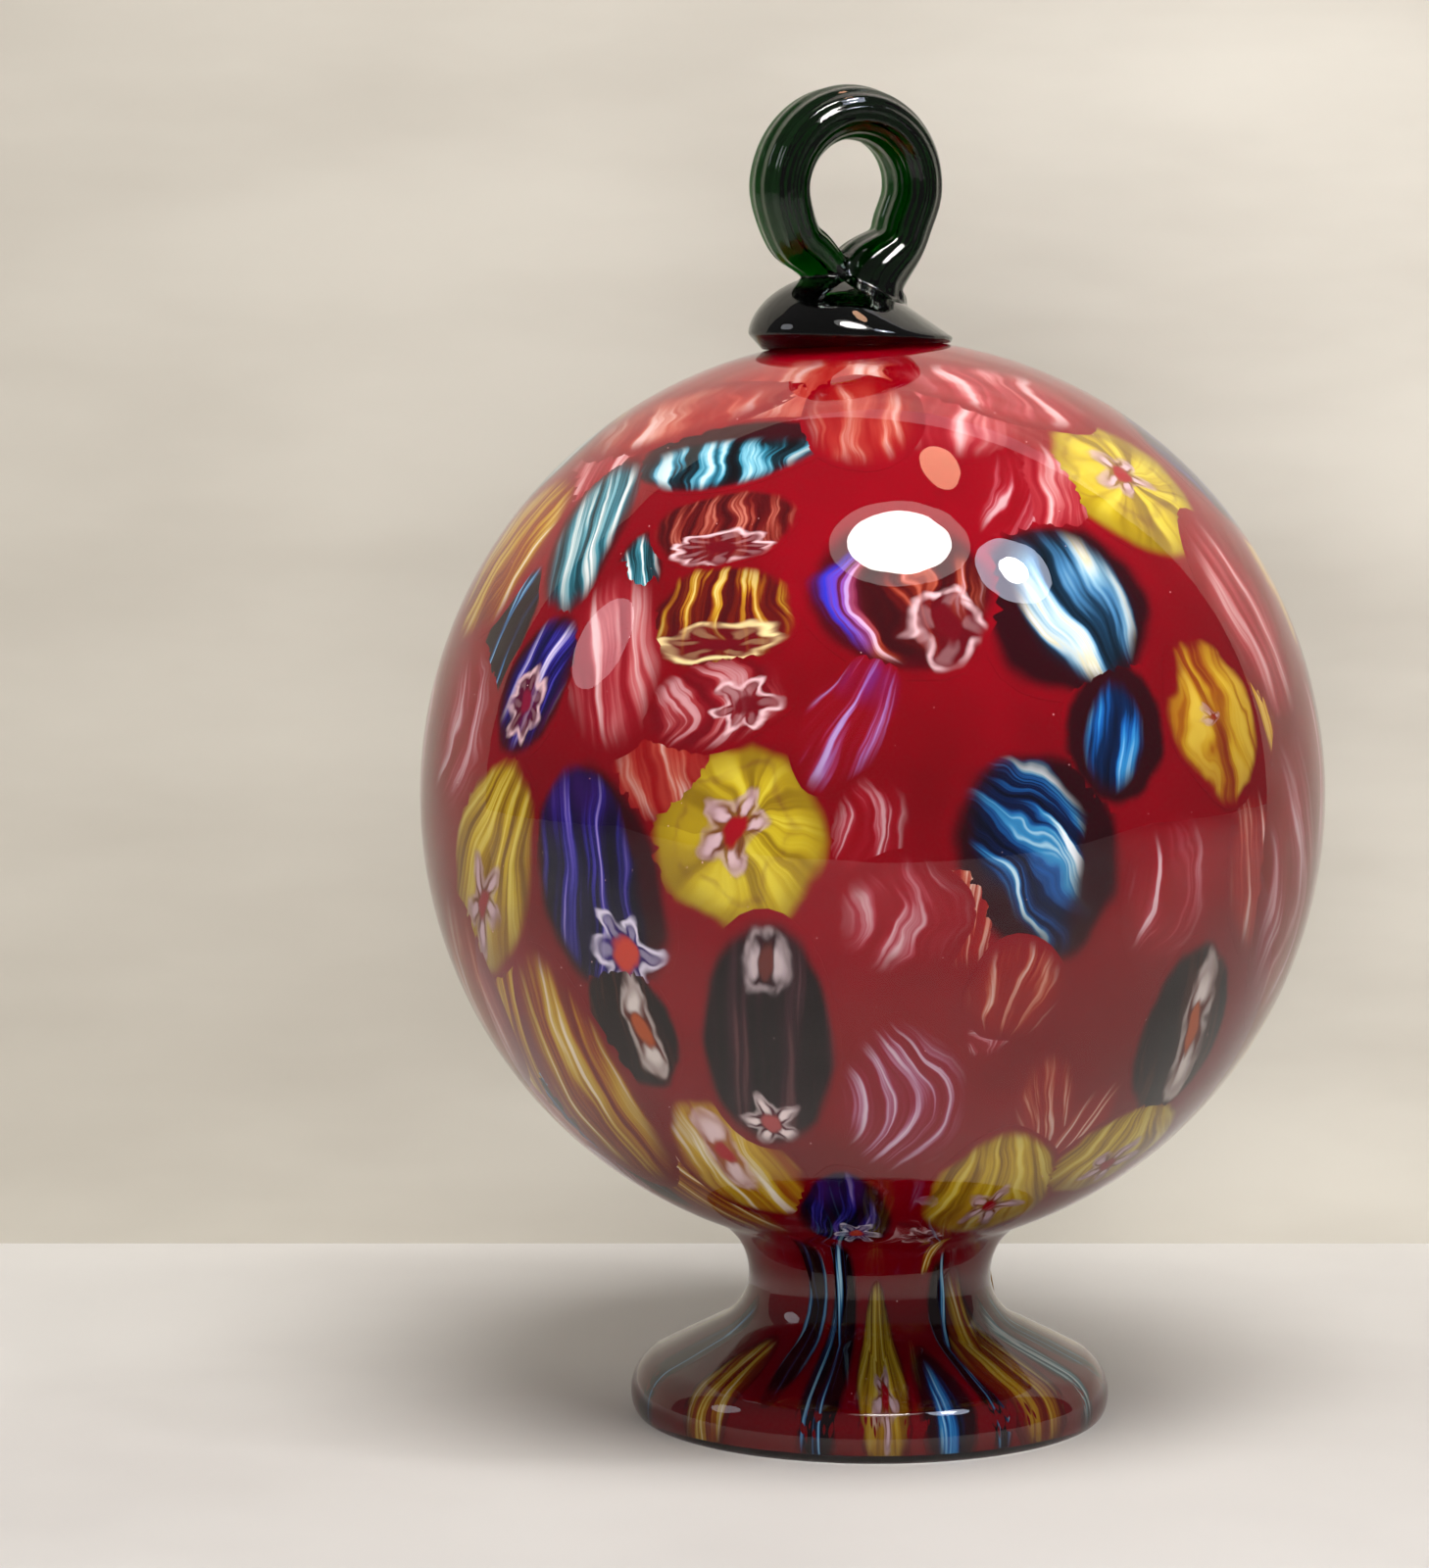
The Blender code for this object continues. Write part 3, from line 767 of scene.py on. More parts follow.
def cane_group() -> Sheet:
    """Flow of a drawn cane: stripes that fan and bend, fine threads, and the way to the rim.

    Returns:
        The group, with masks and the place on the slice.
    """
    sheet = Sheet.group("cane_flow", "ShaderNodeTree")
    stripes, fan, bend, skew, warp, radial = sheet.numbers("Stripes", "Fan", "Bend", "Skew", "Warp", "Radial")
    u_in, v_in, _ = sheet.split(sheet.take("ShaderNodeUVMap", 0, uv_map="UVMap"))
    seed = sheet.take("ShaderNodeAttribute", 2, attribute_name="cane_seed")
    u, v = u_in * 2.0 - 1.0, v_in * 2.0 - 1.0
    slow_x, slow_y, _ = sheet.split(sheet.noise(sheet.vector(u, v, seed), 1.3, 1.0, output=1))
    quick_x, quick_y, _ = sheet.split(sheet.noise(sheet.vector(u, v, seed + 9.0), 4.0, 1.0, output=1))
    across = u + warp * (slow_x - 0.5) + warp * 0.14 * (quick_x - 0.5)
    along = v + warp * (slow_y - 0.5) + warp * 0.14 * (quick_y - 0.5)
    straight = (across + bend * along * along + skew * along) / sheet.math("MAXIMUM", 1.0 + fan * along, 0.15)
    round_way = sheet.math("SINE", sheet.math("ARCTAN2", along - 0.08, across) * 0.5) * 1.6
    flow = straight * (1.0 - radial) + round_way * radial
    streak = sheet.noise(sheet.vector(flow * stripes * 0.8, along * 0.6, seed), 1.0, 1.0)
    thread = sheet.noise(sheet.vector(flow * stripes * 3.0, along * 0.45, seed + 5.0), 1.0, 2.0)
    wave = sheet.math("SINE", flow * stripes * math.pi + (streak - 0.5) * 8.0 + seed) * 0.5 + 0.5
    tone = sheet.smooth(wave * 0.5 + sheet.smooth(thread, 0.2, 0.8) * 0.5, 0.05, 0.95)
    nick = sheet.noise(sheet.vector(u, v, seed + 60.0), 2.6, 1.0)
    radius = sheet.reach(u, v) * (1.04 + 0.16 * (nick - 0.5))
    sheet.deliver_numbers(Tone=tone, Streak=streak, Thread=thread, Across=across, Along=along, Radius=radius)
    return sheet


def star_group() -> Sheet:
    """Star seen at the cut end of a cane: soft uneven petals, the dark glass between them and the heart.

    Returns:
        The group, with one mask for each part of the star.
    """
    sheet = Sheet.group("cane_star", "ShaderNodeTree")
    across, along, x, y, width, height = sheet.numbers("Across", "Along", "X", "Y", "Width", "Height")
    petals, turn, reach = sheet.numbers("Petals", "Turn", "Reach")
    seed = sheet.take("ShaderNodeAttribute", 2, attribute_name="cane_seed")
    p, q = (across - x) / width, (along - y) / height
    stir_x, stir_y, _ = sheet.split(sheet.noise(sheet.vector(p, q, seed + 20.0), 1.5, 2.0, output=1))
    p, q = p + 0.5 * (stir_x - 0.5), q + 0.5 * (stir_y - 0.5)
    rho = sheet.reach(p, q)
    lobes = sheet.math("COSINE", sheet.math("ARCTAN2", q, p) * petals + turn) * 0.5 + 0.5
    edge = reach + (1.0 - reach) * lobes
    ring = sheet.smooth(rho, 0.24, 0.42)
    worn = sheet.smooth(sheet.noise(sheet.vector(p, q, seed + 31.0), 2.4, 1.0), 0.32, 0.6) * 0.75 + 0.25
    sheet.deliver_numbers(
        Between=sheet.smooth(rho, edge + 0.15, edge - 0.25),
        Petals=sheet.smooth(lobes, 0.45, 0.95) * sheet.smooth(rho, edge, edge - 0.45) * ring,
        Outline=sheet.smooth(sheet.math("ABSOLUTE", rho - edge * 0.9), 0.17, 0.0) * ring * worn,
        Contour=sheet.smooth(sheet.math("ABSOLUTE", rho - edge * 0.8 - 0.9), 0.2, 0.0) * worn,
        Heart=sheet.smooth(rho, 0.38, 0.2))
    return sheet


def wave_group() -> Sheet:
    """Slow unevenness of hand-worked hot glass, as a height.

    Returns:
        The group.
    """
    sheet = Sheet.group("hand_worked", "ShaderNodeTree")
    spread, fine = sheet.numbers("Spread", "Fine")
    place_here = sheet.here()
    slow = sheet.noise(place_here, spread, 1.0)
    quick = sheet.noise(sheet.vectors("MULTIPLY", place_here, (1.0, 1.0, 2.6)), spread * 4.0, 1.0)
    sheet.deliver("Height", slow + quick * fine)
    return sheet


# Finishes
@dataclass(frozen=True)
class Clear:
    """Finish of a see-through glass: its tint, its depth of colour and how uneven its skin is.

    Spread and fine say how close the slow waves are and how much quick ones add to them.
    """

    name: str
    tint: Colour
    spread: float
    fine: float
    wave: float
    bump: float = 0.05
    index: float = 1.5


CASING = Clear("clear_glass", (1.0, 1.0, 1.0), spread=38.0, fine=0.12, wave=2.0 * MM)
BOTTLE_GREEN = Clear("green_glass", (0.30, 0.86, 0.40), spread=210.0, fine=0.3, wave=0.6 * MM)
GREEN_DEPTH = {"Color": (0.0, 0.74, 0.2, 1.0), "Density": 2000.0}
INNER_GLASS = {"Roughness": 0.6, "Specular_IOR_Level": 0.0}       # fused under the casing, without gloss


@dataclass(frozen=True)
class Star:
    """Star end of a cane, in shares of its slice's half width and half length."""

    x: float = 0.0
    y: float = 0.0
    width: float = 0.45
    height: float = 0.45
    petals: float = 5.0
    turn: float = 0.6
    reach: float = 0.5
    petal: Colour = tint("e6cfd2")
    line: Colour = tint("7a2340")
    heart: Colour = tint("b01020")
    fill: float = 0.85
    outline: float = 0.45
    contour: float = 0.0
    strength: float = 1.0


@dataclass(frozen=True)
class Cane:
    """Finish of one kind of patterned cane.

    Stops are the colours across a stripe. The body is an oval inside the slice, and what lies
    between the body and the rim is the halo.
    """

    slot: str
    stops: tuple[tuple[float, Colour], ...]
    stripes: float = 4.0
    fan: float = 0.0
    bend: float = 0.0
    skew: float = 0.0
    warp: float = 0.35
    wobble: float = 0.45
    radial: float = 0.0
    growth: float = 1.25
    halo: Colour = tint("1c0208")
    halo_strength: float = 0.0
    body: tuple[float, float, float, float] = (0.0, 0.0, 1.0, 1.0)
    softness: float = 0.16
    strength: float = 1.0
    threads: float = 0.6
    top: Optional[Colour] = None
    top_share: float = 0.6
    foot: Optional[Colour] = None
    foot_share: float = 0.6
    side: Optional[Colour] = None
    side_share: float = 0.0
    rim: Optional[Colour] = None
    star: Optional[Star] = None
    crown: Optional[Star] = None


def stops(codes: str) -> tuple[tuple[float, Colour], ...]:
    """Colour stops from darkest glass to finest bright line, each written as share:colour."""
    pairs = (code.split(":") for code in codes.split())
    return tuple((float(share), tint(colour)) for share, colour in pairs)


BLACK, PLUM, WINE = tint("0a0103"), tint("4a0a22"), tint("5a0410")
PINK_STAR = Star(petal=tint("cdb0ba"), line=tint("5a0f24"), heart=tint("8c0a18"))
FRINGE = Star(fill=0.15, outline=1.0, petals=9.0, reach=0.78, heart=WINE, line=WINE, petal=tint("dcb8bc"))

CANES: dict[str, Cane] = {
    "yellow_flower": Cane(
        "yellow_cane", stops("0:7c6210 0.3:a48c18 0.65:b8a420 1:c8b838"),
        stripes=3.2, warp=0.6, wobble=0.5, radial=1.0, threads=0.3, rim=tint("8c7412"),
        star=replace(PINK_STAR, x=-0.05, y=0.1, width=0.4, height=0.38, reach=0.6, contour=0.3)),
    "dark_oval": Cane(
        "dark_cane", stops("0:0a0204 0.5:1c0a10 0.85:34181e 1:543236"),
        stripes=3.0, warp=0.2, wobble=0.1, threads=0.2, growth=1.32,
        star=Star(y=-0.7, width=0.46, height=0.3, turn=3.14, petal=tint("e4d4d2"), fill=0.95,
                  heart=tint("a04848"), line=PLUM),
        crown=Star(x=-0.02, y=0.6, width=0.34, height=0.42, petals=2.0, turn=0.0, petal=tint("c4b4b6"),
                   heart=tint("5c2a24"), line=tint("2c1216"))),
    "blue_star": Cane(
        "blue_cane", stops("0:06030f 0.5:100830 0.8:221c74 0.93:4a3c98 1:9484c0"),
        stripes=4.2, skew=-0.3, bend=0.25, growth=1.45, halo_strength=0.93, body=(-0.1, 0.02, 0.78, 0.9),
        top=tint("3a1468"), top_share=0.75,
        star=Star(x=0.16, y=-0.56, width=0.5, height=0.36, petals=6.0, fill=0.3, outline=0.95,
                  petal=tint("d8d0e0"), line=tint("2c1060"), heart=tint("b83a28"))),
    "dark_star": Cane(
        "dark_cane", stops("0:0a0103 0.7:140406 1:3c1c14"),
        stripes=3.0, wobble=0.2, halo_strength=0.9, growth=1.4,
        star=Star(x=0.22, width=0.5, height=0.8, petals=2.0, turn=3.14, heart=tint("a04a20"),
                  petal=tint("d8cfc8"), line=tint("5a1a0a"))),
    "white_stripe": Cane(
        "white_cane", stops("0:061018 0.3:143048 0.5:3c7098 0.68:7cA8c0 0.82:b8ccd4 0.92:d4d0b0 1:eef0f0"),
        stripes=2.4, skew=0.25, fan=0.4, warp=0.3, growth=1.45, halo_strength=0.96,
        body=(0.08, 0.02, 0.66, 0.88), softness=0.3),
    "blue_stripe": Cane(
        "blue_cane", stops("0:040818 0.5:08244f 0.75:12549c 0.92:3088c4 1:90c4e4"),
        stripes=2.2, halo_strength=0.95, growth=1.6, body=(-0.05, -0.05, 0.56, 0.8), warp=0.2,
        softness=0.35, top=BLACK, top_share=0.9),
    "blue_swirl": Cane(
        "turquoise_cane", stops("0:050718 0.42:0a1a40 0.64:164c88 0.8:3484b4 0.93:a8ccd8 1:e8eef0"),
        stripes=3.2, bend=0.35, skew=0.6, warp=0.9, growth=1.45, halo_strength=0.96,
        body=(-0.05, 0.12, 0.72, 0.82), softness=0.3),
    "turquoise_arch": Cane(
        "turquoise_cane", stops("0:060408 0.4:0e2a34 0.66:2c7890 0.86:70aec0 1:c0d8dc"),
        stripes=4.5, fan=0.25, growth=1.65, halo_strength=0.92, body=(0.0, -0.3, 0.92, 0.8), softness=0.3,
        top=BLACK, top_share=0.8),
    "red_bell": Cane(
        "red_cane", stops("0:2c0406 0.5:581010 0.8:803024 1:b06a58"),
        stripes=5.0, fan=-0.15, strength=0.9, growth=1.5,
        star=replace(FRINGE, y=-0.5, width=0.72, height=0.46)),
    "turquoise_stripe": Cane(
        "turquoise_cane", stops("0:0e2228 0.35:2c6a78 0.6:5a98a4 0.82:a8bcbc 1:dfe4e0"),
        stripes=3.6, skew=0.5, halo=tint("2a0508"), halo_strength=0.7, body=(0.0, 0.0, 0.86, 0.9),
        growth=1.5, softness=0.3),
    "yellow_bell": Cane(
        "yellow_cane", stops("0:34060a 0.45:5c1408 0.7:8c5010 0.88:b48c20 1:d8c474"),
        stripes=5.0, fan=-0.2, strength=0.9, growth=1.5, foot=tint("5c0c0c"),
        star=replace(FRINGE, y=-0.45, width=0.85, height=0.42, petals=6.0, petal=tint("dcc890"))),
    "pink_stripe": Cane(
        "white_cane", stops("0:84101c 0.4:a0343c 0.7:c06a6c 0.88:cc9494 1:e0bcbc"),
        stripes=2.8, warp=0.4, strength=0.7, skew=0.15, softness=0.4, growth=1.55),
    "red_lace": Cane(
        "red_cane", stops("0:54040e 0.5:740f1a 0.8:98383c 1:cc9ca0"),
        stripes=3.0, bend=0.6, warp=0.4, strength=0.75, growth=1.5, softness=0.3,
        star=replace(FRINGE, x=0.35, y=-0.2, width=0.5, height=0.6, petals=6.0, reach=0.6, strength=0.9)),
    "blue_lace": Cane(
        "blue_cane", stops("0:0a0620 0.4:1c1260 0.7:3c34a0 0.9:8c84c8 1:d0c8e4"),
        growth=1.45, stripes=3.2, halo_strength=0.8, body=(0.0, 0.0, 0.86, 0.9), softness=0.3,
        star=replace(FRINGE, y=-0.25, width=0.6, height=0.5, petals=7.0, heart=tint("7c1030"))),
    "yellow_stripe": Cane(
        "yellow_cane", stops("0:641208 0.3:8c4008 0.55:a87410 0.78:c09c24 0.93:ccb058 1:e8dcc0"),
        growth=1.45, stripes=3.4, warp=0.4, skew=0.1, strength=0.9, softness=0.25),
    "white_lace": Cane(
        "white_cane", stops("0:7c0410 0.45:8c1824 0.7:a44450 0.88:c48890 1:e0c4c8"),
        stripes=2.6, bend=0.7, warp=0.6, strength=0.6, softness=0.45, growth=1.5),
    "yellow_fan": Cane(
        "yellow_cane", stops("0:70500a 0.35:a8881a 0.7:c4a824 1:d8c860"),
        growth=1.4, fan=-0.55, strength=0.95, foot=tint("7c4410"), foot_share=0.5,
        star=replace(PINK_STAR, x=0.05, y=-0.3, width=0.45, height=0.45)),
    "ruby_star": Cane(
        "red_cane", stops("0:2c0408 0.45:500a0c 0.7:742014 0.88:a04c38 1:d8b0b8"),
        stripes=3.0, bend=-0.5, warp=0.8, halo_strength=0.75, growth=1.5, side=tint("1838d8"),
        side_share=1.0, body=(0.0, 0.0, 0.9, 0.9), softness=0.3,
        star=replace(FRINGE, x=0.42, y=-0.42, width=0.45, height=0.5, petals=4.0, reach=0.7, strength=0.9)),
    "violet_trail": Cane(
        "violet_cane", stops("0:70000a 0.5:780a1c 0.72:882c54 0.88:9464a4 1:b0a0d4"),
        stripes=2.6, fan=-0.5, warp=0.25, strength=0.8, softness=0.3, growth=1.4, top=tint("2a3cb0"),
        top_share=0.4),
    "yellow_lump": Cane(
        "yellow_cane", stops("0:74240c 0.3:9c6410 0.65:b89420 1:c8ac3c"),
        stripes=2.0, warp=0.9, wobble=0.5, strength=0.95,
        star=replace(PINK_STAR, x=-0.2, y=0.1, width=0.3, height=0.25, petals=3.0, strength=0.5)),
    "orange_stripe": Cane(
        "orange_cane", stops("0:8c1010 0.5:a83c30 0.75:c06854 0.9:d49c8c 1:e8ccc4"),
        stripes=2.8, warp=0.4, strength=0.5, softness=0.45, growth=1.5),
    "orange_rays": Cane(
        "orange_cane", stops("0:80060c 0.5:8c1814 0.75:a85038 0.9:cc9078 1:e0c8b8"),
        fan=0.5, warp=0.4, strength=0.6, softness=0.4),
    "violet_arcs": Cane(
        "violet_cane", stops("0:780618 0.4:862038 0.62:a05c78 0.82:b890a8 1:d8c8d4"),
        stripes=5.0, bend=1.1, warp=0.25, strength=0.8, softness=0.35, threads=0.4, growth=1.4),
    "yellow_star": Cane(
        "yellow_cane", stops("0:8c4410 0.35:b08c18 0.7:c8a82c 0.9:dcd0a0 1:f0e8d8"),
        stripes=2.6, warp=0.3, strength=0.95,
        star=Star(x=-0.05, y=0.15, width=0.5, height=0.6, petals=2.0, turn=3.14, heart=tint("a01420"),
                  reach=0.6, line=tint("8c3c28"))),
    "dark_stripe": Cane(
        "dark_cane", stops("0:060102 0.6:0c040a 0.8:12284c 0.92:3c80b0 1:a8d4e4"),
        stripes=2.6, warp=0.3, wobble=0.2, strength=0.97),
}


def principled(name: str, **values: object) -> tuple[bpy.types.Material, Sheet, bpy.types.Node]:
    """New material with constants on its Principled shader.

    Args:
        name: Name of the material.
        **values: Shader inputs, with underscores for spaces.

    Returns:
        The material, its sheet and its shader.
    """
    material = bpy.data.materials.new(name)
    material.use_nodes = True
    shader = material.node_tree.nodes["Principled BSDF"]
    for key, value in values.items():
        shader.inputs[key.replace("_", " ")].default_value = value
    return material, Sheet(material.node_tree), shader


class GlassShop:
    """Makes every finish, each once."""

    def __init__(self) -> None:
        """Build the shared node groups."""
        self.ruby_ground = ruby_group()
        self.cane_flow = cane_group()
        self.cane_star = star_group()
        self.hand_worked = wave_group()
        self.canes: dict[str, bpy.types.Material] = {}

    def ruby(self) -> bpy.types.Material:
        """Opaque ruby glass, fused under the casing, so it has no gloss of its own.

        Returns:
            The material.
        """
        material, sheet, shader = principled("ruby_glass", **INNER_GLASS)
        sheet.feed(shader.inputs["Base Color"], sheet.grouped(self.ruby_ground)["Color"])
        return material

    def _see_through(self, glass: Clear) -> tuple[bpy.types.Material, Sheet, bpy.types.Node]:
        """New material of a see-through glass with its uneven skin.

        Args:
            glass: Its finish.

        Returns:
            The material, its sheet and its shader.
        """
        material, sheet, shader = principled(
            glass.name, Base_Color=(*glass.tint, 1.0), Roughness=0.0, IOR=glass.index,
            Transmission_Weight=1.0)
        height = sheet.grouped(self.hand_worked, {"Spread": glass.spread, "Fine": glass.fine})["Height"]
        sheet.feed(shader.inputs["Normal"], sheet.take("ShaderNodeBump", 0, {
            "Height": height, "Strength": glass.bump, "Distance": glass.wave}))
        return material, sheet, shader

    def clear(self) -> bpy.types.Material:
        """Clear casing glass, gently uneven, that lets light straight through.

        Returns:
            The material.
        """
        material, sheet, shader = self._see_through(CASING)
        sheet.vanish(shader, sheet.take("ShaderNodeLightPath", "Is Shadow Ray"))
        return material

    def green(self) -> bpy.types.Material:
        """Bottle-green glass that darkens with thickness.

        Returns:
            The material.
        """
        material, sheet, _ = self._see_through(BOTTLE_GREEN)
        sheet.end("Volume", sheet.take("ShaderNodeVolumeAbsorption", 0, GREEN_DEPTH))
        return material

    def bubble(self) -> bpy.types.Material:
        """Pale wall of a tiny bubble, painted bright for the light that it reflects, a little duller or
        pinker from bubble to bubble.

        Returns:
            The material.
        """
        material, sheet, shader = principled("seed_bubble", Roughness=0.2, Specular_IOR_Level=0.8)
        drift = sheet.noise(sheet.here(), 900.0, 1.0)
        # painted reflection: the pale colour stands in for the light that the bubble's wall reflects
        sheet.feed(shader.inputs["Base Color"], sheet.mix(drift, tint("c86a70"), tint("f0d8d8")))
        return material

    def cane(self, name: str) -> bpy.types.Material:
        """Material of a kind of cane, from its finish.

        Args:
            name: Kind of cane.

        Returns:
            Its material, the same one each time.
        """
        if name not in self.canes:
            self.canes[name] = self._make_cane(name, CANES[name])
        return self.canes[name]

    def _make_cane(self, name: str, finish: Cane) -> bpy.types.Material:
        """Lay halo, stripes, tints and star over the ruby ground, then darken the neck and foot with painted
        shade.

        Args:
            name: Kind of cane.
            finish: Its colours and sizes.

        Returns:
            The material.
        """
        material, sheet, shader = principled(name + "_cane", **INNER_GLASS)
        flow = sheet.grouped(self.cane_flow, {
            "Stripes": finish.stripes, "Fan": finish.fan, "Bend": finish.bend, "Skew": finish.skew,
            "Warp": finish.warp, "Radial": finish.radial})
        across, along, radius = flow["Across"], flow["Along"], flow["Radius"]
        ground = sheet.grouped(self.ruby_ground)
        colour = ground["Color"]
        if finish.halo_strength:
            rim = sheet.smooth(radius, 1.0, 0.82)
            colour = sheet.mix(rim * finish.halo_strength, colour, finish.halo)
        body = self._stripes(sheet, finish, flow["Tone"])
        body = sheet.mix(sheet.smooth(flow["Thread"], 0.5, 0.2) * finish.threads, body, finish.stops[0][1])
        if finish.top:
            share = sheet.smooth(along, 0.15, 0.75) * finish.top_share
            body = sheet.mix(share * sheet.smooth(flow["Streak"], 0.25, 0.7), body, finish.top)
        if finish.rim:
            body = sheet.mix(sheet.smooth(radius, 0.6, 1.0) * 0.8, body, finish.rim)
        if finish.foot:
            body = sheet.mix(sheet.smooth(along, 0.1, -0.7) * finish.foot_share, body, finish.foot)
        if finish.side:
            share = sheet.smooth(across, -0.2, -0.65) * finish.side_share
            body = sheet.mix(share * sheet.smooth(flow["Thread"], 0.3, 0.6), body, finish.side)
        x, y, width, height = finish.body
        p, q = (across - x) / width, (along - y) / height
        oval = sheet.reach(p, q)
        whole = sheet.math("MAXIMUM", oval, radius)
        mask = sheet.smooth(whole, 1.0, 1.0 - finish.softness)
        body = sheet.mix(sheet.smooth(oval, 0.45, 1.05) * ROUNDING, body, finish.stops[0][1])
        patchy = sheet.smooth(flow["Streak"], 0.2, 0.75) * (1.0 - finish.strength) + finish.strength
        colour = sheet.mix(mask * patchy * (0.35 + 0.65 * finish.strength), colour, body)
        for star in (finish.star, finish.crown):
            if star:
                colour = self._star(sheet, star, colour, across, along, sheet.smooth(radius, 1.0, 0.85))
        # painted shade: the cane darkens towards black on the neck and foot, as the ruby ground does
        sheet.feed(shader.inputs["Base Color"], sheet.mix(ground["Foot Shade"] * CANE_FOOT_SHADE, colour, BLACK))
        return material

    @staticmethod
    def _stripes(sheet: Sheet, finish: Cane, tone: Wire) -> Wire:
        """Colour ramp of a cane across its stripes.

        Args:
            sheet: The material's sheet.
            finish: Finish with the colour stops.
            tone: Share of the way from dark glass to bright line.

        Returns:
            The colour.
        """
        node = sheet.put("ShaderNodeValToRGB", {0: tone})
        elements = node.color_ramp.elements
        elements[1].position, elements[1].color = finish.stops[-1][0], (*finish.stops[-1][1], 1.0)
        elements[0].position, elements[0].color = finish.stops[0][0], (*finish.stops[0][1], 1.0)
        for position, colour in finish.stops[1:-1]:
            elements.new(position).color = (*colour, 1.0)
        return Wire(sheet, node.outputs[0])

    def _star(self, sheet: Sheet, star: Star, colour: Wire, across: Wire, along: Wire, rim: Wire) -> Wire:
        """Lay a star end over a cane's colour.

        Args:
            sheet: The material's sheet.
            star: Finish of the star.
            colour: Colour under it.
            across: Place across the slice.
            along: Place along the slice.
            rim: 1 inside the slice and 0 at its rim.

        Returns:
            The colour with the star.
        """
        parts = sheet.grouped(self.cane_star, {
            "Across": across, "Along": along, "X": star.x, "Y": star.y, "Width": star.width,
            "Height": star.height, "Petals": star.petals, "Turn": star.turn, "Reach": star.reach})
        whole = rim * star.strength
        colour = sheet.mix(parts["Contour"] * whole * star.contour, colour, star.line)
        colour = sheet.mix(parts["Between"] * whole * 0.75, colour, star.line)
        colour = sheet.mix(parts["Outline"] * whole * star.outline, colour, star.petal)
        colour = sheet.mix(parts["Petals"] * whole * star.fill, colour, star.petal)
        return sheet.mix(parts["Heart"] * whole, colour, star.heart)


# Pieces
@dataclass
class BlownBody:
    """Ruby layer and the clear casing over it."""

    sizes: GlobeSizes = field(default_factory=GlobeSizes)
    sectors: int = 192
    bubble_density: float = 9000.0
    bubble_radius: tuple[float, float] = (0.03 * MM, 0.085 * MM)
    bubble_depth: float = 1.2 * MM
    bubbles_from: float = 6.0 * MM
    bubble_seed: int = 7
    core_ledge: float = 0.6 * MM

    def build(self, outline: Outline, shop: GlassShop) -> None:
        """Make the ruby layer, the casing and its seed bubbles.

        Args:
            outline: Half section of the glass.
            shop: Maker of the finishes.
        """
        tree = turned_tree()
        side = outline.ruby_side()
        section = side + outline.dish(side[-1].x - self.core_ledge, 0.0)
        ruby = grown("ruby_bubble", tree, guide_line(section),
                     {"Sectors": self.sectors, "Material": shop.ruby()})
        hang(ruby, Hung("ruby_glass", ("ruby_core",)))
        casing = grown("casing_glass", tree, guide_line(outline.outside()),
                       {"Sectors": self.sectors, "Material": shop.clear()})
        hang(casing, Hung("clear_glass", ("clear_casing",)))
        self._bubbles(ruby, shop)

    def _bubbles(self, ruby: bpy.types.Object, shop: GlassShop) -> None:
        """Scatter seed bubbles a little above the ruby layer.

        Args:
            ruby: The finished ruby layer.
            shop: Maker of the finishes.
        """
        bm = bmesh.new()
        bm.from_mesh(ruby.data)
        low = [face for face in bm.faces if face.calc_center_median().z < self.bubbles_from]
        bmesh.ops.delete(bm, geom=low, context="FACES")
        for vertex in bm.verts:
            vertex.co += vertex.normal * self.bubble_depth
        skin = bpy.data.meshes.new("bubble_skin")
        bm.to_mesh(skin)
        bm.free()
        bubbles = grown("seed_bubbles", bubble_tree(), skin, {
            "Density": self.bubble_density, "Smallest": self.bubble_radius[0],
            "Largest": self.bubble_radius[1], "Seed": self.bubble_seed, "Material": shop.bubble()})
        hang(bubbles, Hung("clear_glass"))


class Place(Enum):
    """Where a slice lies."""

    GLOBE = "globe"
    FOOT = "foot"


@dataclass(frozen=True)
class SliceSpec:
    """One slice: kind, place and angular size.

    On the globe, latitude, width, length and lean are degrees. On the foot, latitude and length are
    shares of the way from the neck down to the core's lower edge. An extra slice is a thin skin
    that the CAD model leaves to this one. Over lifts a slice above its neighbours, in layers.
    """

    kind: str
    bearing: float
    latitude: float
    width: float
    length: float
    lean: float = 0.0
    place: Place = Place.GLOBE
    finish: str = ""
    extra: bool = False
    over: int = 0


def foot_slice(kind: str, bearing: float, width: float, start: float, end: float,
               **more: object) -> SliceSpec:
    """Slice that is drawn out down the neck and foot."""
    return SliceSpec(kind, bearing, (start + end) / 2, width, end - start, place=Place.FOOT, **more)


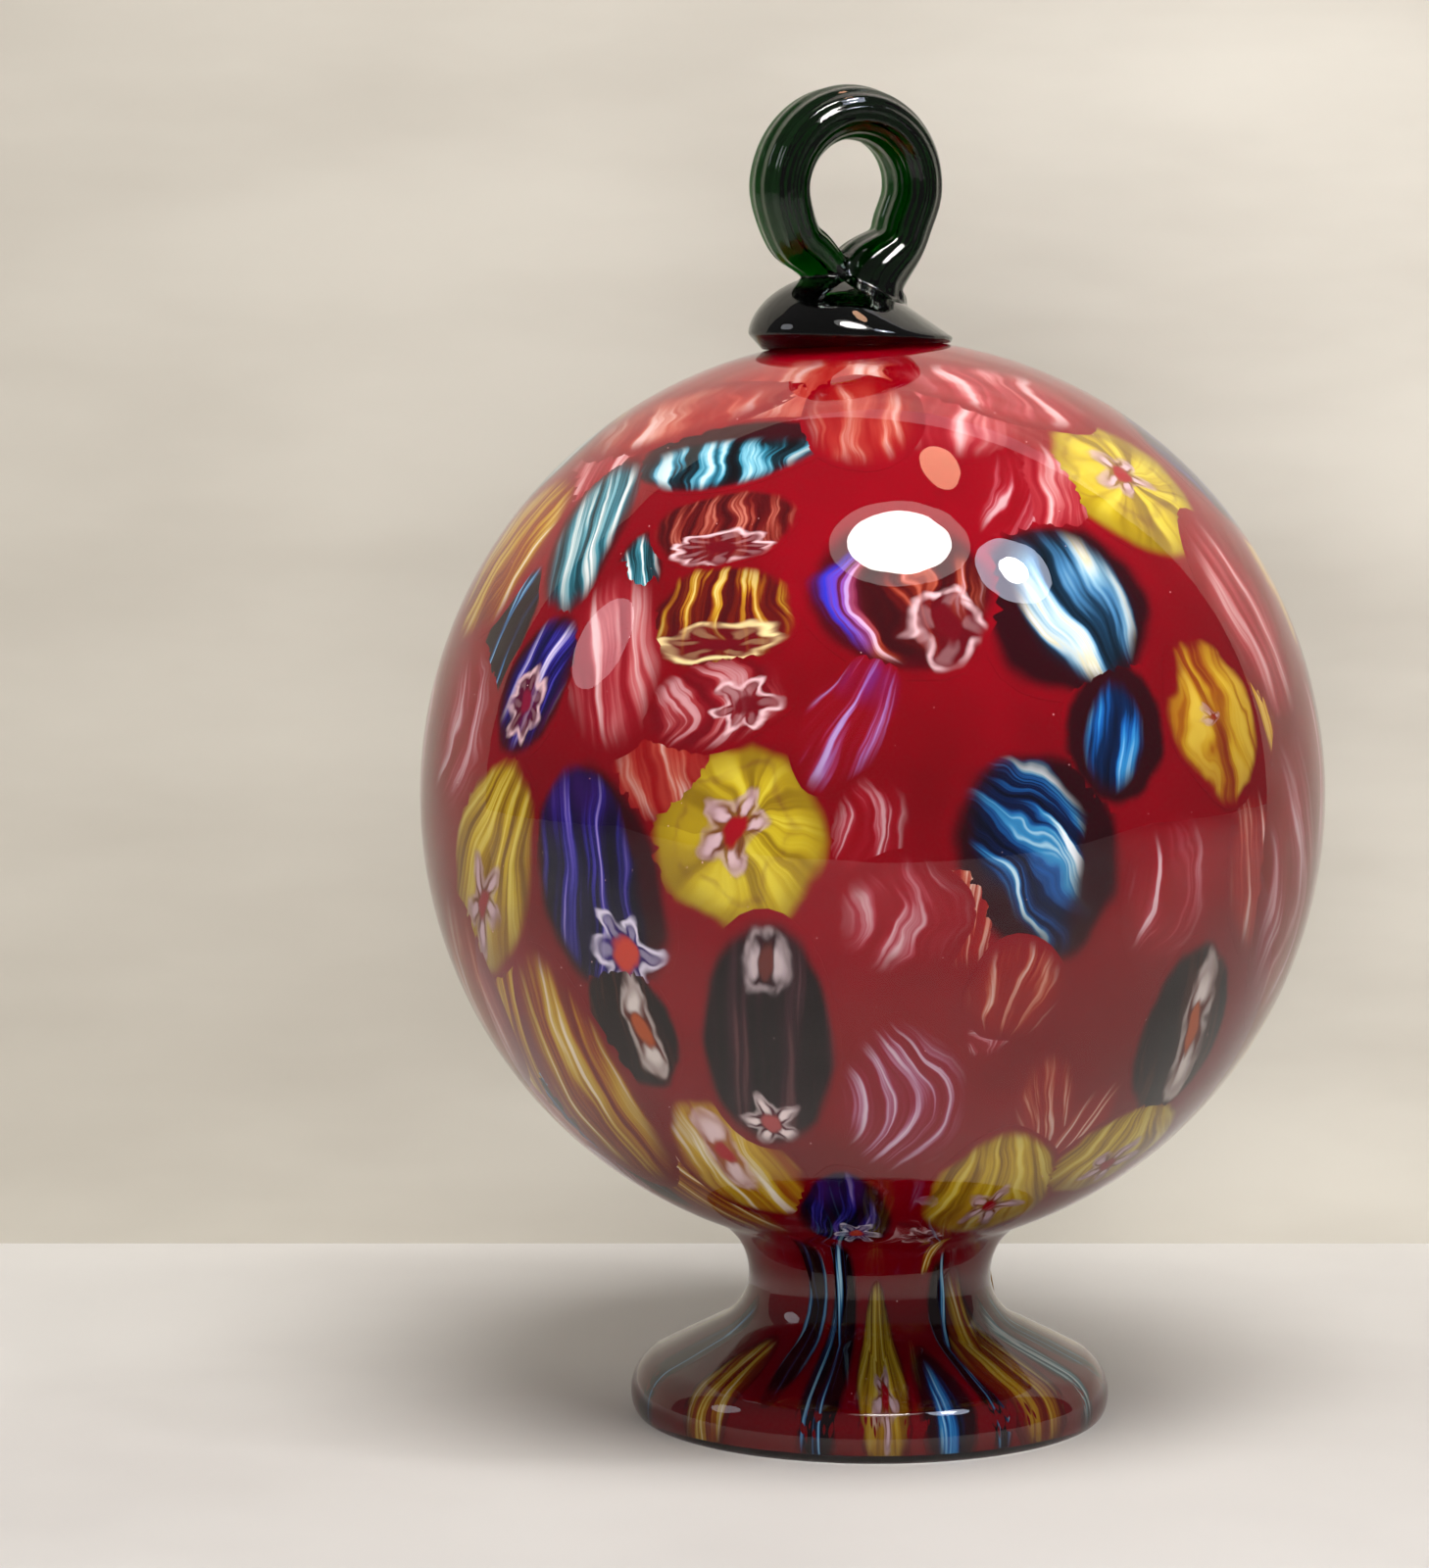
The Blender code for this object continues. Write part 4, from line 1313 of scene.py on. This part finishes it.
FRONT_SLICES = (
    SliceSpec("yellow_flower", -18, 0, 19, 21),
    SliceSpec("yellow_flower", 49, 45, 20, 20, 20),
    SliceSpec("dark_oval", -16, -26, 14, 27, 5, over=60),
    SliceSpec("blue_star", -38, -6, 15, 22, -9),
    SliceSpec("dark_star", -36, -25, 10, 14),
    SliceSpec("white_stripe", 26, 28, 18, 18, -6),
    SliceSpec("blue_stripe", 30, 12, 10, 12, 10),
    SliceSpec("blue_swirl", 19, -2, 16, 20, -20),
    SliceSpec("turquoise_arch", -33, 51, 18, 8, -14),
    SliceSpec("red_bell", -26, 39, 14, 8, -10),
    SliceSpec("turquoise_stripe", -52, 38, 9, 18, -12),
    SliceSpec("yellow_bell", -23, 27, 14, 10, -6),
    SliceSpec("pink_stripe", -38, 21, 10, 17, -15),
    SliceSpec("red_lace", -22, 16, 14, 8, -15),
    SliceSpec("blue_lace", -51, 17, 9, 14, 20),
    SliceSpec("yellow_stripe", -73, 33, 15, 18, 10),
    SliceSpec("white_lace", -67, 10, 12, 16, 10),
    SliceSpec("yellow_fan", -58, -6, 13, 24, 28),
    SliceSpec("ruby_star", 2, 30, 17, 15),
    SliceSpec("violet_trail", -5, 14, 8, 14, 28),
    SliceSpec("yellow_lump", 47, 13, 13, 18, -14),
    SliceSpec("pink_stripe", 62, 25, 11, 20, -8),
    SliceSpec("orange_stripe", -56, 58, 22, 10, -24),
    SliceSpec("orange_stripe", -5, 58, 11, 14, -6),
    SliceSpec("white_stripe", 38, 64, 18, 11, 30, finish="pink_stripe"),
    SliceSpec("white_lace", 2, -9, 12, 11),
    SliceSpec("orange_rays", 17, -19, 10, 12, 14),
    SliceSpec("violet_arcs", 3, -35, 12, 20, -3),
    SliceSpec("yellow_star", -27, -47, 13, 20, -8),
    SliceSpec("yellow_stripe", -51, -35, 14, 28, 6),
    SliceSpec("dark_star", 47, -27, 12, 20, -14),
    SliceSpec("yellow_fan", 49, -46, 16, 14, -14),
    SliceSpec("white_lace", 66, -9, 14, 28, -8),
    SliceSpec("blue_star", -8, -59, 9, 17),
    SliceSpec("yellow_fan", 24, -53, 13, 20, -14),
    SliceSpec("orange_stripe", -73, -24, 12, 20, 14),
)
# Latitude, first bearing, count, width, length and pitch of each row round the back.
BACK_ROWS = ((46, 92, 5, 20, 17, 42), (8, 92, 5, 19, 22, 44), (-30, 104, 4, 17, 24, 52))
BACK_CANES = (
    "blue_star", "yellow_flower", "white_lace", "dark_oval", "turquoise_stripe", "red_bell", "yellow_stripe")
BACK_LEANS = (-18, 12, 25, -6, 4)
FOOT_SLICES = (
    foot_slice("yellow_star", 2, 15, 0.34, 1.12, finish="yellow_fan"),
    foot_slice("dark_stripe", -15, 13, 0.05, 1.15),
    foot_slice("turquoise_stripe", 19, 14, 0.62, 1.15, finish="blue_stripe"),
    foot_slice("yellow_stripe", -47, 16, 0.60, 1.12),
    foot_slice("yellow_stripe", 46, 24, 0.30, 1.1),
    foot_slice("dark_stripe", 128, 26, 0.10, 1.12),
    foot_slice("blue_stripe", 222, 26, 0.25, 1.12),
)
# Thin skins on the globe: name, finish, bearing, latitude, width, length and lean.
EXTRA_SKINS = (
    ("lace_wisp", "white_lace", 23, 44, 7, 14, 30), ("lace_wisp", "white_lace", -2, 1, 7, 10, 10),
    ("lace_wisp", "white_lace", 14, -25, 5, 4, -40), ("star_wisp", "red_lace", 9, -66, 9, 8, 0),
    ("turquoise_wisp", "turquoise_stripe", -38, 32, 5, 9, -10),
    ("yellow_wisp", "yellow_stripe", 59, 17, 6, 18, -10), ("blue_wisp", "blue_star", 80, 47, 10, 16, 0),
    ("orange_wisp", "orange_stripe", -20, 66, 24, 14, 0), ("pink_wisp", "pink_stripe", 18, 62, 16, 18, 30),
    ("lace_wisp", "orange_rays", 10, -8, 8, 14, 0), ("yellow_wisp", "yellow_stripe", -64, -28, 9, 26, 22),
    ("lace_wisp", "white_lace", 80, 5, 10, 22, 0), ("pink_wisp", "orange_stripe", -28, 8, 12, 10, -20),
    ("pink_wisp", "pink_stripe", 30, 45, 10, 12, 24), ("lace_wisp", "white_lace", 38, -8, 10, 14, 12),
    ("pink_wisp", "pink_stripe", -62, 48, 12, 14, -16), ("lace_wisp", "orange_rays", 26, -36, 7, 16, -18),
    ("orange_wisp", "orange_rays", -44, -46, 10, 14, -24),
    ("lace_wisp", "orange_stripe", 54, -6, 8, 16, -10),
    ("yellow_wisp", "yellow_stripe", -43, -50, 9, 26, -14),
    ("dark_wisp", "dark_stripe", -61, -45, 8, 28, -10),
    ("orange_wisp", "orange_stripe", -74, -42, 10, 30, -6),
    ("dark_wisp", "dark_stripe", -61, 22, 8, 18, 12), ("orange_wisp", "orange_rays", 34, -44, 8, 20, 10),
)
# Streaks down the neck and foot: name, finish, bearing, width, start and end.
EXTRA_STREAKS = (
    ("purple_streak", "dark_stripe", -30, 11, 0.02, 0.9), ("dark_streak", "dark_stripe", 33, 8, 0.2, 1.1),
    ("yellow_streak", "yellow_stripe", 27, 6, 0.0, 0.3), ("dark_streak", "dark_stripe", -75, 14, 0.45, 1.1),
    ("turquoise_streak", "turquoise_stripe", 66, 10, 0.45, 1.1),
    ("dark_streak", "dark_stripe", 82, 12, 0.45, 1.0),
    ("yellow_streak", "yellow_stripe", 100, 14, 0.2, 1.1),
    ("yellow_streak", "yellow_star", 160, 14, 0.2, 1.1),
    ("turquoise_streak", "turquoise_stripe", 190, 14, 0.3, 1.1),
    ("yellow_streak", "yellow_fan", 254, 14, 0.2, 1.1),
)
EXTRA_SLICES = tuple(
    maker(name, *sizes, finish=finish, extra=True)
    for maker, rows in ((SliceSpec, EXTRA_SKINS), (foot_slice, EXTRA_STREAKS))
    for name, finish, *sizes in rows)
# Bearing, latitude and finish of each thin skin round the back.
BACK_WISPS = (
    (112, 62, "orange_stripe"), (150, 68, "pink_stripe"), (200, 64, "white_lace"), (245, 66, "yellow_stripe"),
    (113, 27, "pink_stripe"), (158, 26, "violet_trail"), (203, 29, "ruby_star"), (246, 26, "yellow_bell"),
    (114, -10, "orange_rays"), (157, -12, "violet_arcs"), (203, -10, "blue_lace"), (247, -13, "white_lace"),
    (82, -32, "yellow_stripe"), (130, -33, "red_lace"), (182, -34, "yellow_fan"), (234, -34, "white_lace"),
    (100, -56, "yellow_star"), (140, -57, "blue_swirl"), (190, -56, "orange_stripe"), (240, -57, "dark_star"),
    (285, -52, "violet_arcs"), (84, 28, "yellow_lump"), (268, 5, "pink_stripe"), (266, 48, "yellow_fan"),
)


@dataclass
class SliceBed:
    """All the slices of cane on the ruby layer."""

    outline: Outline
    shop: GlassShop
    proud: float = 0.02 * MM
    rise: float = 0.05 * MM
    sink: float = 0.2 * MM
    step: float = 0.0015 * MM
    spare_layers: int = 10
    drawn_growth: float = 1.1
    drawn_wobble: float = 0.3
    seed_step: float = 1.7
    counts: dict[str, int] = field(default_factory=dict)

    def __post_init__(self) -> None:
        """Measure the side line that the slices are laid along."""
        self.line = self.outline.ruby_side()
        self.lengths = [0.0]
        for before, after in zip(self.line, self.line[1:]):
            self.lengths.append(self.lengths[-1] + (after - before).length)
        self.neck = self.lengths[len(self.outline.globe) - 1]
        self.foot = self.lengths[-1 - len(self.outline.DROP)]
        self.tree = slice_tree()

    def length_at(self, latitude: float) -> float:
        """Length down the side line at which the globe has a latitude.

        Args:
            latitude: Degrees above the globe's middle.

        Returns:
            Length from the top.
        """
        sizes = self.outline.sizes
        height = sizes.middle + math.sin(math.radians(latitude)) * (sizes.half_height - sizes.core_depth)
        heights = [-point.z for point in self.line[:len(self.outline.globe)]]
        return float(np.interp(-height, heights, self.lengths[:len(heights)]))

    def build(self) -> None:
        """Lay every slice."""
        for spec in FRONT_SLICES + self._back() + FOOT_SLICES + EXTRA_SLICES + self._back_wisps():
            self._lay(spec)

    @staticmethod
    def _back() -> tuple[SliceSpec, ...]:
        """Slices of the staggered rows round the back.

        Returns:
            One spec for each.
        """
        specs: list[SliceSpec] = []
        for latitude, first, count, width, length, pitch in BACK_ROWS:
            for step in range(count):
                index = len(specs)
                kind, lean = BACK_CANES[index % len(BACK_CANES)], BACK_LEANS[index % len(BACK_LEANS)]
                specs.append(SliceSpec(kind, first + step * pitch, latitude, width, length, lean))
        return tuple(specs)

    @staticmethod
    def _back_wisps() -> tuple[SliceSpec, ...]:
        """Thin skins of cane between the rows round the back.

        Returns:
            One spec for each.
        """
        specs = []
        for index, (bearing, latitude, finish) in enumerate(BACK_WISPS):
            width, length = 11 + 3 * (index % 3), 12 + 4 * (index % 2)
            lean = BACK_LEANS[index % len(BACK_LEANS)]
            specs.append(SliceSpec(
                "back_wisp", bearing, latitude, width, length, lean, finish=finish, extra=True))
        return tuple(specs)

    def _lay(self, spec: SliceSpec) -> None:
        """Lay one slice and hide the CAD slice that it stands for.

        Args:
            spec: Its kind, place and size.
        """
        self.counts[spec.kind] = self.counts.get(spec.kind, 0) + 1
        number = f"{spec.kind}_{self.counts[spec.kind]:02d}"
        finish = spec.finish or spec.kind
        order = sum(self.counts.values())
        layer = 0 if spec.extra else self.spare_layers + order + spec.over
        if spec.place is Place.GLOBE:
            growth, wobble, flare = CANES[finish].growth, CANES[finish].wobble, 0.0
            ball = self.outline.sizes.radius - self.outline.sizes.core_depth
            middle = self.length_at(spec.latitude)
            half_width, half_length = (math.radians(angle) * ball / 2 for angle in (spec.width, spec.length))
        else:
            growth, wobble, flare = self.drawn_growth, self.drawn_wobble, self.outline.sizes.waist_radius
            span = self.foot - self.neck
            middle = self.neck + span * spec.latitude
            half_width, half_length = math.radians(spec.width) * flare / 2, span * spec.length / 2
        values = {
            "Bearing": math.radians(spec.bearing), "Middle": middle, "Half Width": half_width * growth,
            "Half Length": half_length * growth, "Lean": math.radians(spec.lean), "Rise": self.rise,
            "Sink": self.sink, "Proud": self.proud + self.step * layer, "Flare": flare, "Wobble": wobble,
            "Seed": order * self.seed_step, "Material": self.shop.cane(finish)}
        name = number if spec.extra else "slice_" + number
        piece = grown(name, self.tree, guide_line(self.line), values)
        stands_for = () if spec.extra else ("murrina_" + number,)
        hang(piece, Hung(CANES[finish].slot, stands_for))


@dataclass
class GreenGather:
    """Green collar on the globe and the loop that is pulled out of it."""

    globe: GlobeSizes = field(default_factory=GlobeSizes)
    pad_radius: float = 11.2 * MM
    pad_offset: float = -2.4 * MM
    pad_height: float = 7.0 * MM
    pad_edge: float = 0.5 * MM
    pad_roll: float = 1.5 * MM
    pad_tuck: float = 0.12
    seat: float = 0.05 * MM
    gap: float = 0.3 * MM
    loop_offset: float = -2.9 * MM
    loop_radius: float = 8.0 * MM
    loop_rise: float = 16.3 * MM
    turn: float = math.radians(25.0)
    lean: float = math.radians(5.0)
    root_sink: float = 2.5 * MM
    half_width: float = 3.0 * MM
    half_depth: float = 4.6 * MM
    ribs: int = 14
    rib_height: float = 0.11 * MM
    voxel: float = 0.22 * MM
    melt_share: float = 0.5
    melt_rounds: int = 5
    knot_steps: int = 10
    tip_steps: int = 5
    tip_reach: tuple[float, float] = (0.3, 0.6)
    thinnest: float = 0.001
    root_depth: float = 0.8 * MM
    pad_sectors: int = 120
    pad_under_steps: int = 14
    pad_top_steps: int = 24
    pad_rim: float = 0.97

    def build(self, shop: GlassShop) -> None:
        """Join rod and collar into one smooth solid.

        Args:
            shop: Maker of the finishes.
        """
        rod, pad = self._rod(), self._pad()
        bm = bmesh.new()
        bm.from_mesh(rod.data)
        bm.from_mesh(pad.data)
        mesh = bpy.data.meshes.new("green_gather")
        bm.to_mesh(mesh)
        bm.free()
        for part in (rod, pad):
            bpy.data.objects.remove(part, do_unlink=True)
        source = as_object("green_gather_joined", mesh)
        weld = source.modifiers.new("weld", "REMESH")
        weld.mode, weld.voxel_size, weld.adaptivity = "VOXEL", self.voxel, 0.0
        melt = source.modifiers.new("melt", "SMOOTH")
        melt.factor, melt.iterations = self.melt_share, self.melt_rounds
        gather = baked("green_gather", source)
        gather.data.materials.clear()
        gather.data.materials.append(shop.green())
        hang(gather, Hung("green_glass", ("hanging_loop",)))

    def _knots(self) -> list[tuple[float, float, float, float]]:
        """Middle of the rod, from its root on the right over the loop to its root on the left.

        Returns:
            Places sideways and up from the loop's middle, with half width and half depth.
        """
        width, depth, reach = self.half_width, self.half_depth, self.loop_radius
        floor = -self.loop_rise + self.gap + self.root_sink
        top = -self.loop_rise + self.gap + self.pad_height
        knots = [(0.32 * reach, floor, 1.6 * width, 1.25 * depth),
                 (0.36 * reach, top - self.root_depth, 1.45 * width, 1.15 * depth),
                 (0.76 * reach, (top - 0.47 * reach) / 2, width, depth)]
        for degrees in range(-28, 212, 24):
            angle = math.radians(degrees)
            knots.append((reach * math.cos(angle), reach * math.sin(angle), width, depth))
        knots += [(-0.78 * reach, -0.68 * reach, 0.95 * width, 0.9 * depth),
                  (-0.5 * reach, (top - 0.68 * reach) / 2, 0.9 * width, 0.8 * depth),
                  (-0.14 * reach, top - self.root_depth, 0.75 * width, 0.7 * depth)]
        return knots

    @staticmethod
    def _smooth(knots: list[tuple[float, ...]], steps: int) -> np.ndarray:
        """Catmull-Rom curve through knots.

        Args:
            knots: Rows of numbers.
            steps: Points from one knot to the next.

        Returns:
            The rows along the curve.
        """
        padded = np.array([knots[0], *knots, knots[-1]])
        route = []
        for a, b, c, d in zip(padded, padded[1:], padded[2:], padded[3:]):
            for t in np.arange(steps) / steps:
                route.append(0.5 * (2 * b + (c - a) * t + (2 * a - 5 * b + 4 * c - d) * t ** 2
                                    + (3 * b - a - 3 * c + d) * t ** 3))
        route.append(padded[-1])
        return np.array(route)

    def _rod(self) -> bpy.types.Object:
        """Ribbed rod, swept along its route with rounded ends.

        Returns:
            The rod, before it is joined.
        """
        route = self._smooth(self._knots(), self.knot_steps)
        across = Vector((math.cos(self.turn), math.sin(self.turn), 0.0))
        facing = Vector((-math.sin(self.turn), math.cos(self.turn), 0.0))
        upright = Vector((0, 0, 1)) * math.cos(self.lean) - facing * math.sin(self.lean)
        middle = Vector((self.loop_offset, 0.0, self.globe.top + self.loop_rise))
        centres = [middle + across * u + upright * v for u, v, _, _ in route]
        widths, depths = list(route[:, 2]), list(route[:, 3])
        for end, inside, reach in ((0, 1, self.tip_reach[0]), (-1, -2, self.tip_reach[1])):
            tip, width, depth = centres[end], widths[end], depths[end]
            ahead = (tip - centres[inside]).normalized()
            for step in range(1, self.tip_steps + 1):
                angle = step / self.tip_steps * math.pi / 2
                shrink = max(math.cos(angle), self.thinnest)
                where = 0 if end == 0 else len(centres)
                centres.insert(where, tip + ahead * reach * self.half_width * math.sin(angle))
                widths.insert(where, width * shrink)
                depths.insert(where, depth * shrink)
        guide = guide_line(centres, half_width=widths, half_depth=depths)
        return grown("rod", rod_tree(), guide, {
            "Eye Way": tuple(across.cross(upright)), "Ribs": self.ribs, "Rib Height": self.rib_height})

    def _pad(self) -> bpy.types.Object:
        """Collar: full and rolled under on the left, drawn out thin on the right.

        Returns:
            The collar, before it is joined.
        """
        sectors = self.pad_sectors
        bm = bmesh.new()

        def vertex(sector: int, share: float, top: bool) -> bmesh.types.BMVert:
            """One point of the collar's skin.

            Args:
                sector: Number of its sector.
                share: Share of the way from the middle to the rim.
                top: Whether it lies on top.

            Returns:
                The point.
            """
            angle = TURN * sector / sectors
            left = 0.5 - 0.5 * math.cos(angle)
            if not top:
                share *= 1.0 - left * self.pad_tuck
            x = self.pad_offset + share * self.pad_radius * math.cos(angle)
            y = share * self.pad_radius * math.sin(angle)
            height = 0.0
            if top:
                full = (1.0 - share ** 3) ** 0.55
                thin = (1.0 - share) ** 1.08
                edge = self.pad_edge + left * self.pad_roll
                height = edge + (self.pad_height - edge) * (left * full + (1.0 - left) * thin)
            under = self.globe.foot_height + self.globe.half_height * (
                1.0 + math.sqrt(1.0 - (x * x + y * y) / self.globe.radius ** 2))
            return bm.verts.new((x, y, under + (self.gap if top else self.seat) + height))

        low, high = self.pad_under_steps, self.pad_top_steps
        shares = [(step / low, False) for step in range(1, low)] + [(self.pad_rim, False), (1.0, True)]
        shares += [(1.0 - (step / high) ** 1.5, True) for step in range(1, high)]
        rings = [[vertex(i, share, top) for i in range(sectors)] for share, top in shares]
        for lower, upper in zip(rings, rings[1:]):
            for i in range(sectors):
                j = (i + 1) % sectors
                bm.faces.new((lower[i], lower[j], upper[j], upper[i]))
        for ring, top in ((rings[0], False), (rings[-1], True)):
            apex = vertex(0, 0.0, top)
            for i in range(sectors):
                bm.faces.new((ring[i], ring[(i + 1) % sectors], apex))
        mesh = bpy.data.meshes.new("pad")
        bmesh.ops.recalc_face_normals(bm, faces=bm.faces)
        bm.to_mesh(mesh)
        bm.free()
        return as_object("pad", mesh)


# Studio
@dataclass(frozen=True)
class Lamp:
    """One soft lamp, by its direction from the globe and its apparent half sizes."""

    name: str
    way: tuple[float, float, float]
    half_size: tuple[float, float]
    radiance: float
    colour: Colour
    distance: float = 0.8
    mirrored: bool = True
    lights: bool = True


@dataclass(frozen=True)
class Paper:
    """Finish of a matt pale surface with faint clouds and painted shade towards one end of an axis.

    Folds above 1 flatten the clouds into long folds.
    """

    name: str
    first: Colour
    second: Colour
    painted_shade: Colour
    axis: int
    shade_from: float
    shade_to: float
    shade_share: float
    folds: float = 1.0

    def make(self) -> tuple[bpy.types.Material, Sheet, bpy.types.Node]:
        """Build the material.

        Returns:
            The material, its sheet and its shader.
        """
        material, sheet, shader = principled(self.name, Roughness=0.75, Specular_IOR_Level=0.3)
        place_here = sheet.here()
        drift = sheet.noise(sheet.vectors("MULTIPLY", place_here, (1.0, 1.0, self.folds)), 9.0, 4.0)
        clouds = sheet.mix(sheet.smooth(drift, 0.3, 0.7), self.first, self.second)
        # painted shade: darker towards one end of the axis, standing in for less light there
        end = sheet.smooth(sheet.split(place_here)[self.axis], self.shade_from, self.shade_to)
        sheet.feed(shader.inputs["Base Color"], sheet.mix(end * self.shade_share, clouds, self.painted_shade))
        return material, sheet, shader


# painted shade towards the front of the table
TABLE_TOP = Paper("table_top", tint("cecbc6"), tint("dcdad5"), painted_shade=tint("a29ea2"), axis=1, shade_from=-0.07,
                  shade_to=-0.14, shade_share=0.7)
# painted shade towards the left of the card
CARD = Paper("card", tint("cac5b9"), tint("dedace"), painted_shade=tint("a8a294"), axis=0, shade_from=0.08, shade_to=-0.12,
             shade_share=0.42, folds=3.5)


@dataclass
class Studio:
    """Pale table, pale card behind, soft lamps and the camera."""

    aim: Vector = field(default_factory=lambda: Vector((0.0, 0.0, 0.0687)))
    camera_place: tuple[float, float, float] = (-0.0172, -0.502, 0.1175)
    pitch: float = math.radians(5.42)
    lens: float = 105.4
    sensor: float = 36.0
    room: Colour = (0.16, 0.155, 0.155)
    beyond: Colour = tint("d6cfc2")
    table: tuple[float, float, float, float] = (-0.9, 1.1, -0.40, 1.3)
    card_side: float = 0.32
    card_height: float = 0.42
    card_back: tuple[float, float] = (0.095, 0.12)
    lamps: tuple[Lamp, ...] = (
        Lamp("overhead_softbox", (0.085, -0.38, 0.92), (0.19, 0.155), 27.0, (1.0, 0.97, 0.93), lights=False),
        Lamp("overhead_light", (0.085, -0.38, 0.92), (0.3, 0.25), 10.5, (1.0, 0.97, 0.96), mirrored=False),
        Lamp("softbox_edge", (0.085, -0.38, 0.92), (0.26, 0.21), 2.5, (1.0, 0.97, 0.95), distance=0.83),
        Lamp("round_lamp", (0.48, -0.35, 0.80), (0.145, 0.145), 8.0, (0.74, 0.80, 1.0), lights=False),
        Lamp("round_lamp_heart", (0.48, -0.35, 0.80), (0.055, 0.055), 45.0, (1.0, 0.98, 1.0), distance=0.78),
        Lamp("warm_skylight", (0.21, 0.04, 0.98), (0.125, 0.06), 9.0, (1.0, 0.55, 0.34), lights=False),
        Lamp("ceiling", (0.12, 0.66, 0.76), (0.8, 0.42), 1.0, (0.95, 0.94, 1.0)),
        Lamp("ceiling_light", (0.12, 0.66, 0.76), (0.8, 0.42), 2.0, (0.93, 0.93, 1.0), mirrored=False),
        Lamp("front_fill", (-0.1, -0.93, -0.06), (0.32, 0.32), 6.4, (1.0, 0.97, 0.97), mirrored=False),
        Lamp("back_fill", (-0.3, 0.9, 0.35), (0.35, 0.35), 2.0, (1.0, 0.97, 0.95), mirrored=False),
        Lamp("side_window", (-0.87, -0.10, 0.49), (0.13, 0.16), 2.6, (0.92, 0.92, 1.0)),
    )

    def build(self) -> None:
        """Set up table, card, lamps, world and camera."""
        self._table()
        self._card()
        for lamp in self.lamps:
            self._lamp(lamp)
        self._world()
        self._camera()
        bpy.context.scene.view_settings.view_transform = "Standard"

    @staticmethod
    def _flat(name: str, corners: list[tuple[float, float, float]], material: bpy.types.Material) -> None:
        """Four-cornered stage piece.

        Args:
            name: Its name.
            corners: Its corners in order.
            material: Its finish.
        """
        mesh = bpy.data.meshes.new(name)
        mesh.from_pydata(corners, [], [(0, 1, 2, 3)])
        mesh.materials.append(material)
        as_object(name, mesh)

    def _table(self) -> None:
        """Pale table top, from its front edge to well behind."""
        left, right, front, back = self.table
        corners = [(left, front, 0.0), (right, front, 0.0), (right, back, 0.0), (left, back, 0.0)]
        self._flat("table", corners, TABLE_TOP.make()[0])

    def _card(self) -> None:
        """Pale card behind the ornament; from behind it is not seen."""
        material, sheet, shader = CARD.make()
        sheet.vanish(shader, sheet.take("ShaderNodeNewGeometry", "Backfacing"))
        side, top, (low, high) = self.card_side, self.card_height, self.card_back
        corners = [(-side, low, 0.0), (side, low, 0.0), (side, high, top), (-side, high, top)]
        self._flat("card", corners, material)

    def _lamp(self, lamp: Lamp) -> None:
        """Area lamp that faces the globe.

        Args:
            lamp: Its direction, size and light.
        """
        light = bpy.data.lights.new(lamp.name, "AREA")
        light.shape = "ELLIPSE"
        light.size, light.size_y = (2 * half * lamp.distance for half in lamp.half_size)
        area = light.size * light.size_y * math.pi / 4
        light.energy = lamp.radiance * area * math.pi
        light.color = lamp.colour
        way = Vector(lamp.way).normalized()
        thing = bpy.data.objects.new(lamp.name, light)
        thing.location = self.aim + way * lamp.distance
        thing.visible_glossy = lamp.mirrored
        thing.visible_diffuse = lamp.lights
        thing.rotation_euler = way.to_track_quat("Z", "Y").to_euler()
        bpy.context.scene.collection.objects.link(thing)

    def _world(self) -> None:
        """Dim room for the glass to reflect, pale where the camera looks past the card."""
        world = bpy.data.worlds.new("room")
        bpy.context.scene.world = world
        world.use_nodes = True
        sheet = Sheet(world.node_tree)
        shader = world.node_tree.nodes["Background"]
        seen = sheet.take("ShaderNodeLightPath", "Is Camera Ray")
        sheet.feed(shader.inputs["Color"], sheet.mix(seen, self.room, self.beyond))

    def _camera(self) -> None:
        """Long lens, a little above the table, looking slightly down."""
        data = bpy.data.cameras.new("camera")
        data.lens = self.lens
        data.sensor_width = self.sensor
        camera = bpy.data.objects.new("camera", data)
        camera.location = self.camera_place
        camera.rotation_euler = (math.pi / 2 - self.pitch, 0.0, 0.0)
        bpy.context.scene.collection.objects.link(camera)
        bpy.context.scene.camera = camera


def main() -> None:
    """Build the ornament from the inside out, then the studio round it."""
    logging.basicConfig(level=logging.INFO, format="%(name)s: %(message)s")
    shop = GlassShop()
    outline = Outline(GlobeSizes())
    BlownBody().build(outline, shop)
    SliceBed(outline, shop).build()
    GreenGather().build(shop)
    Studio().build()


if __name__ == "__main__":
    main()
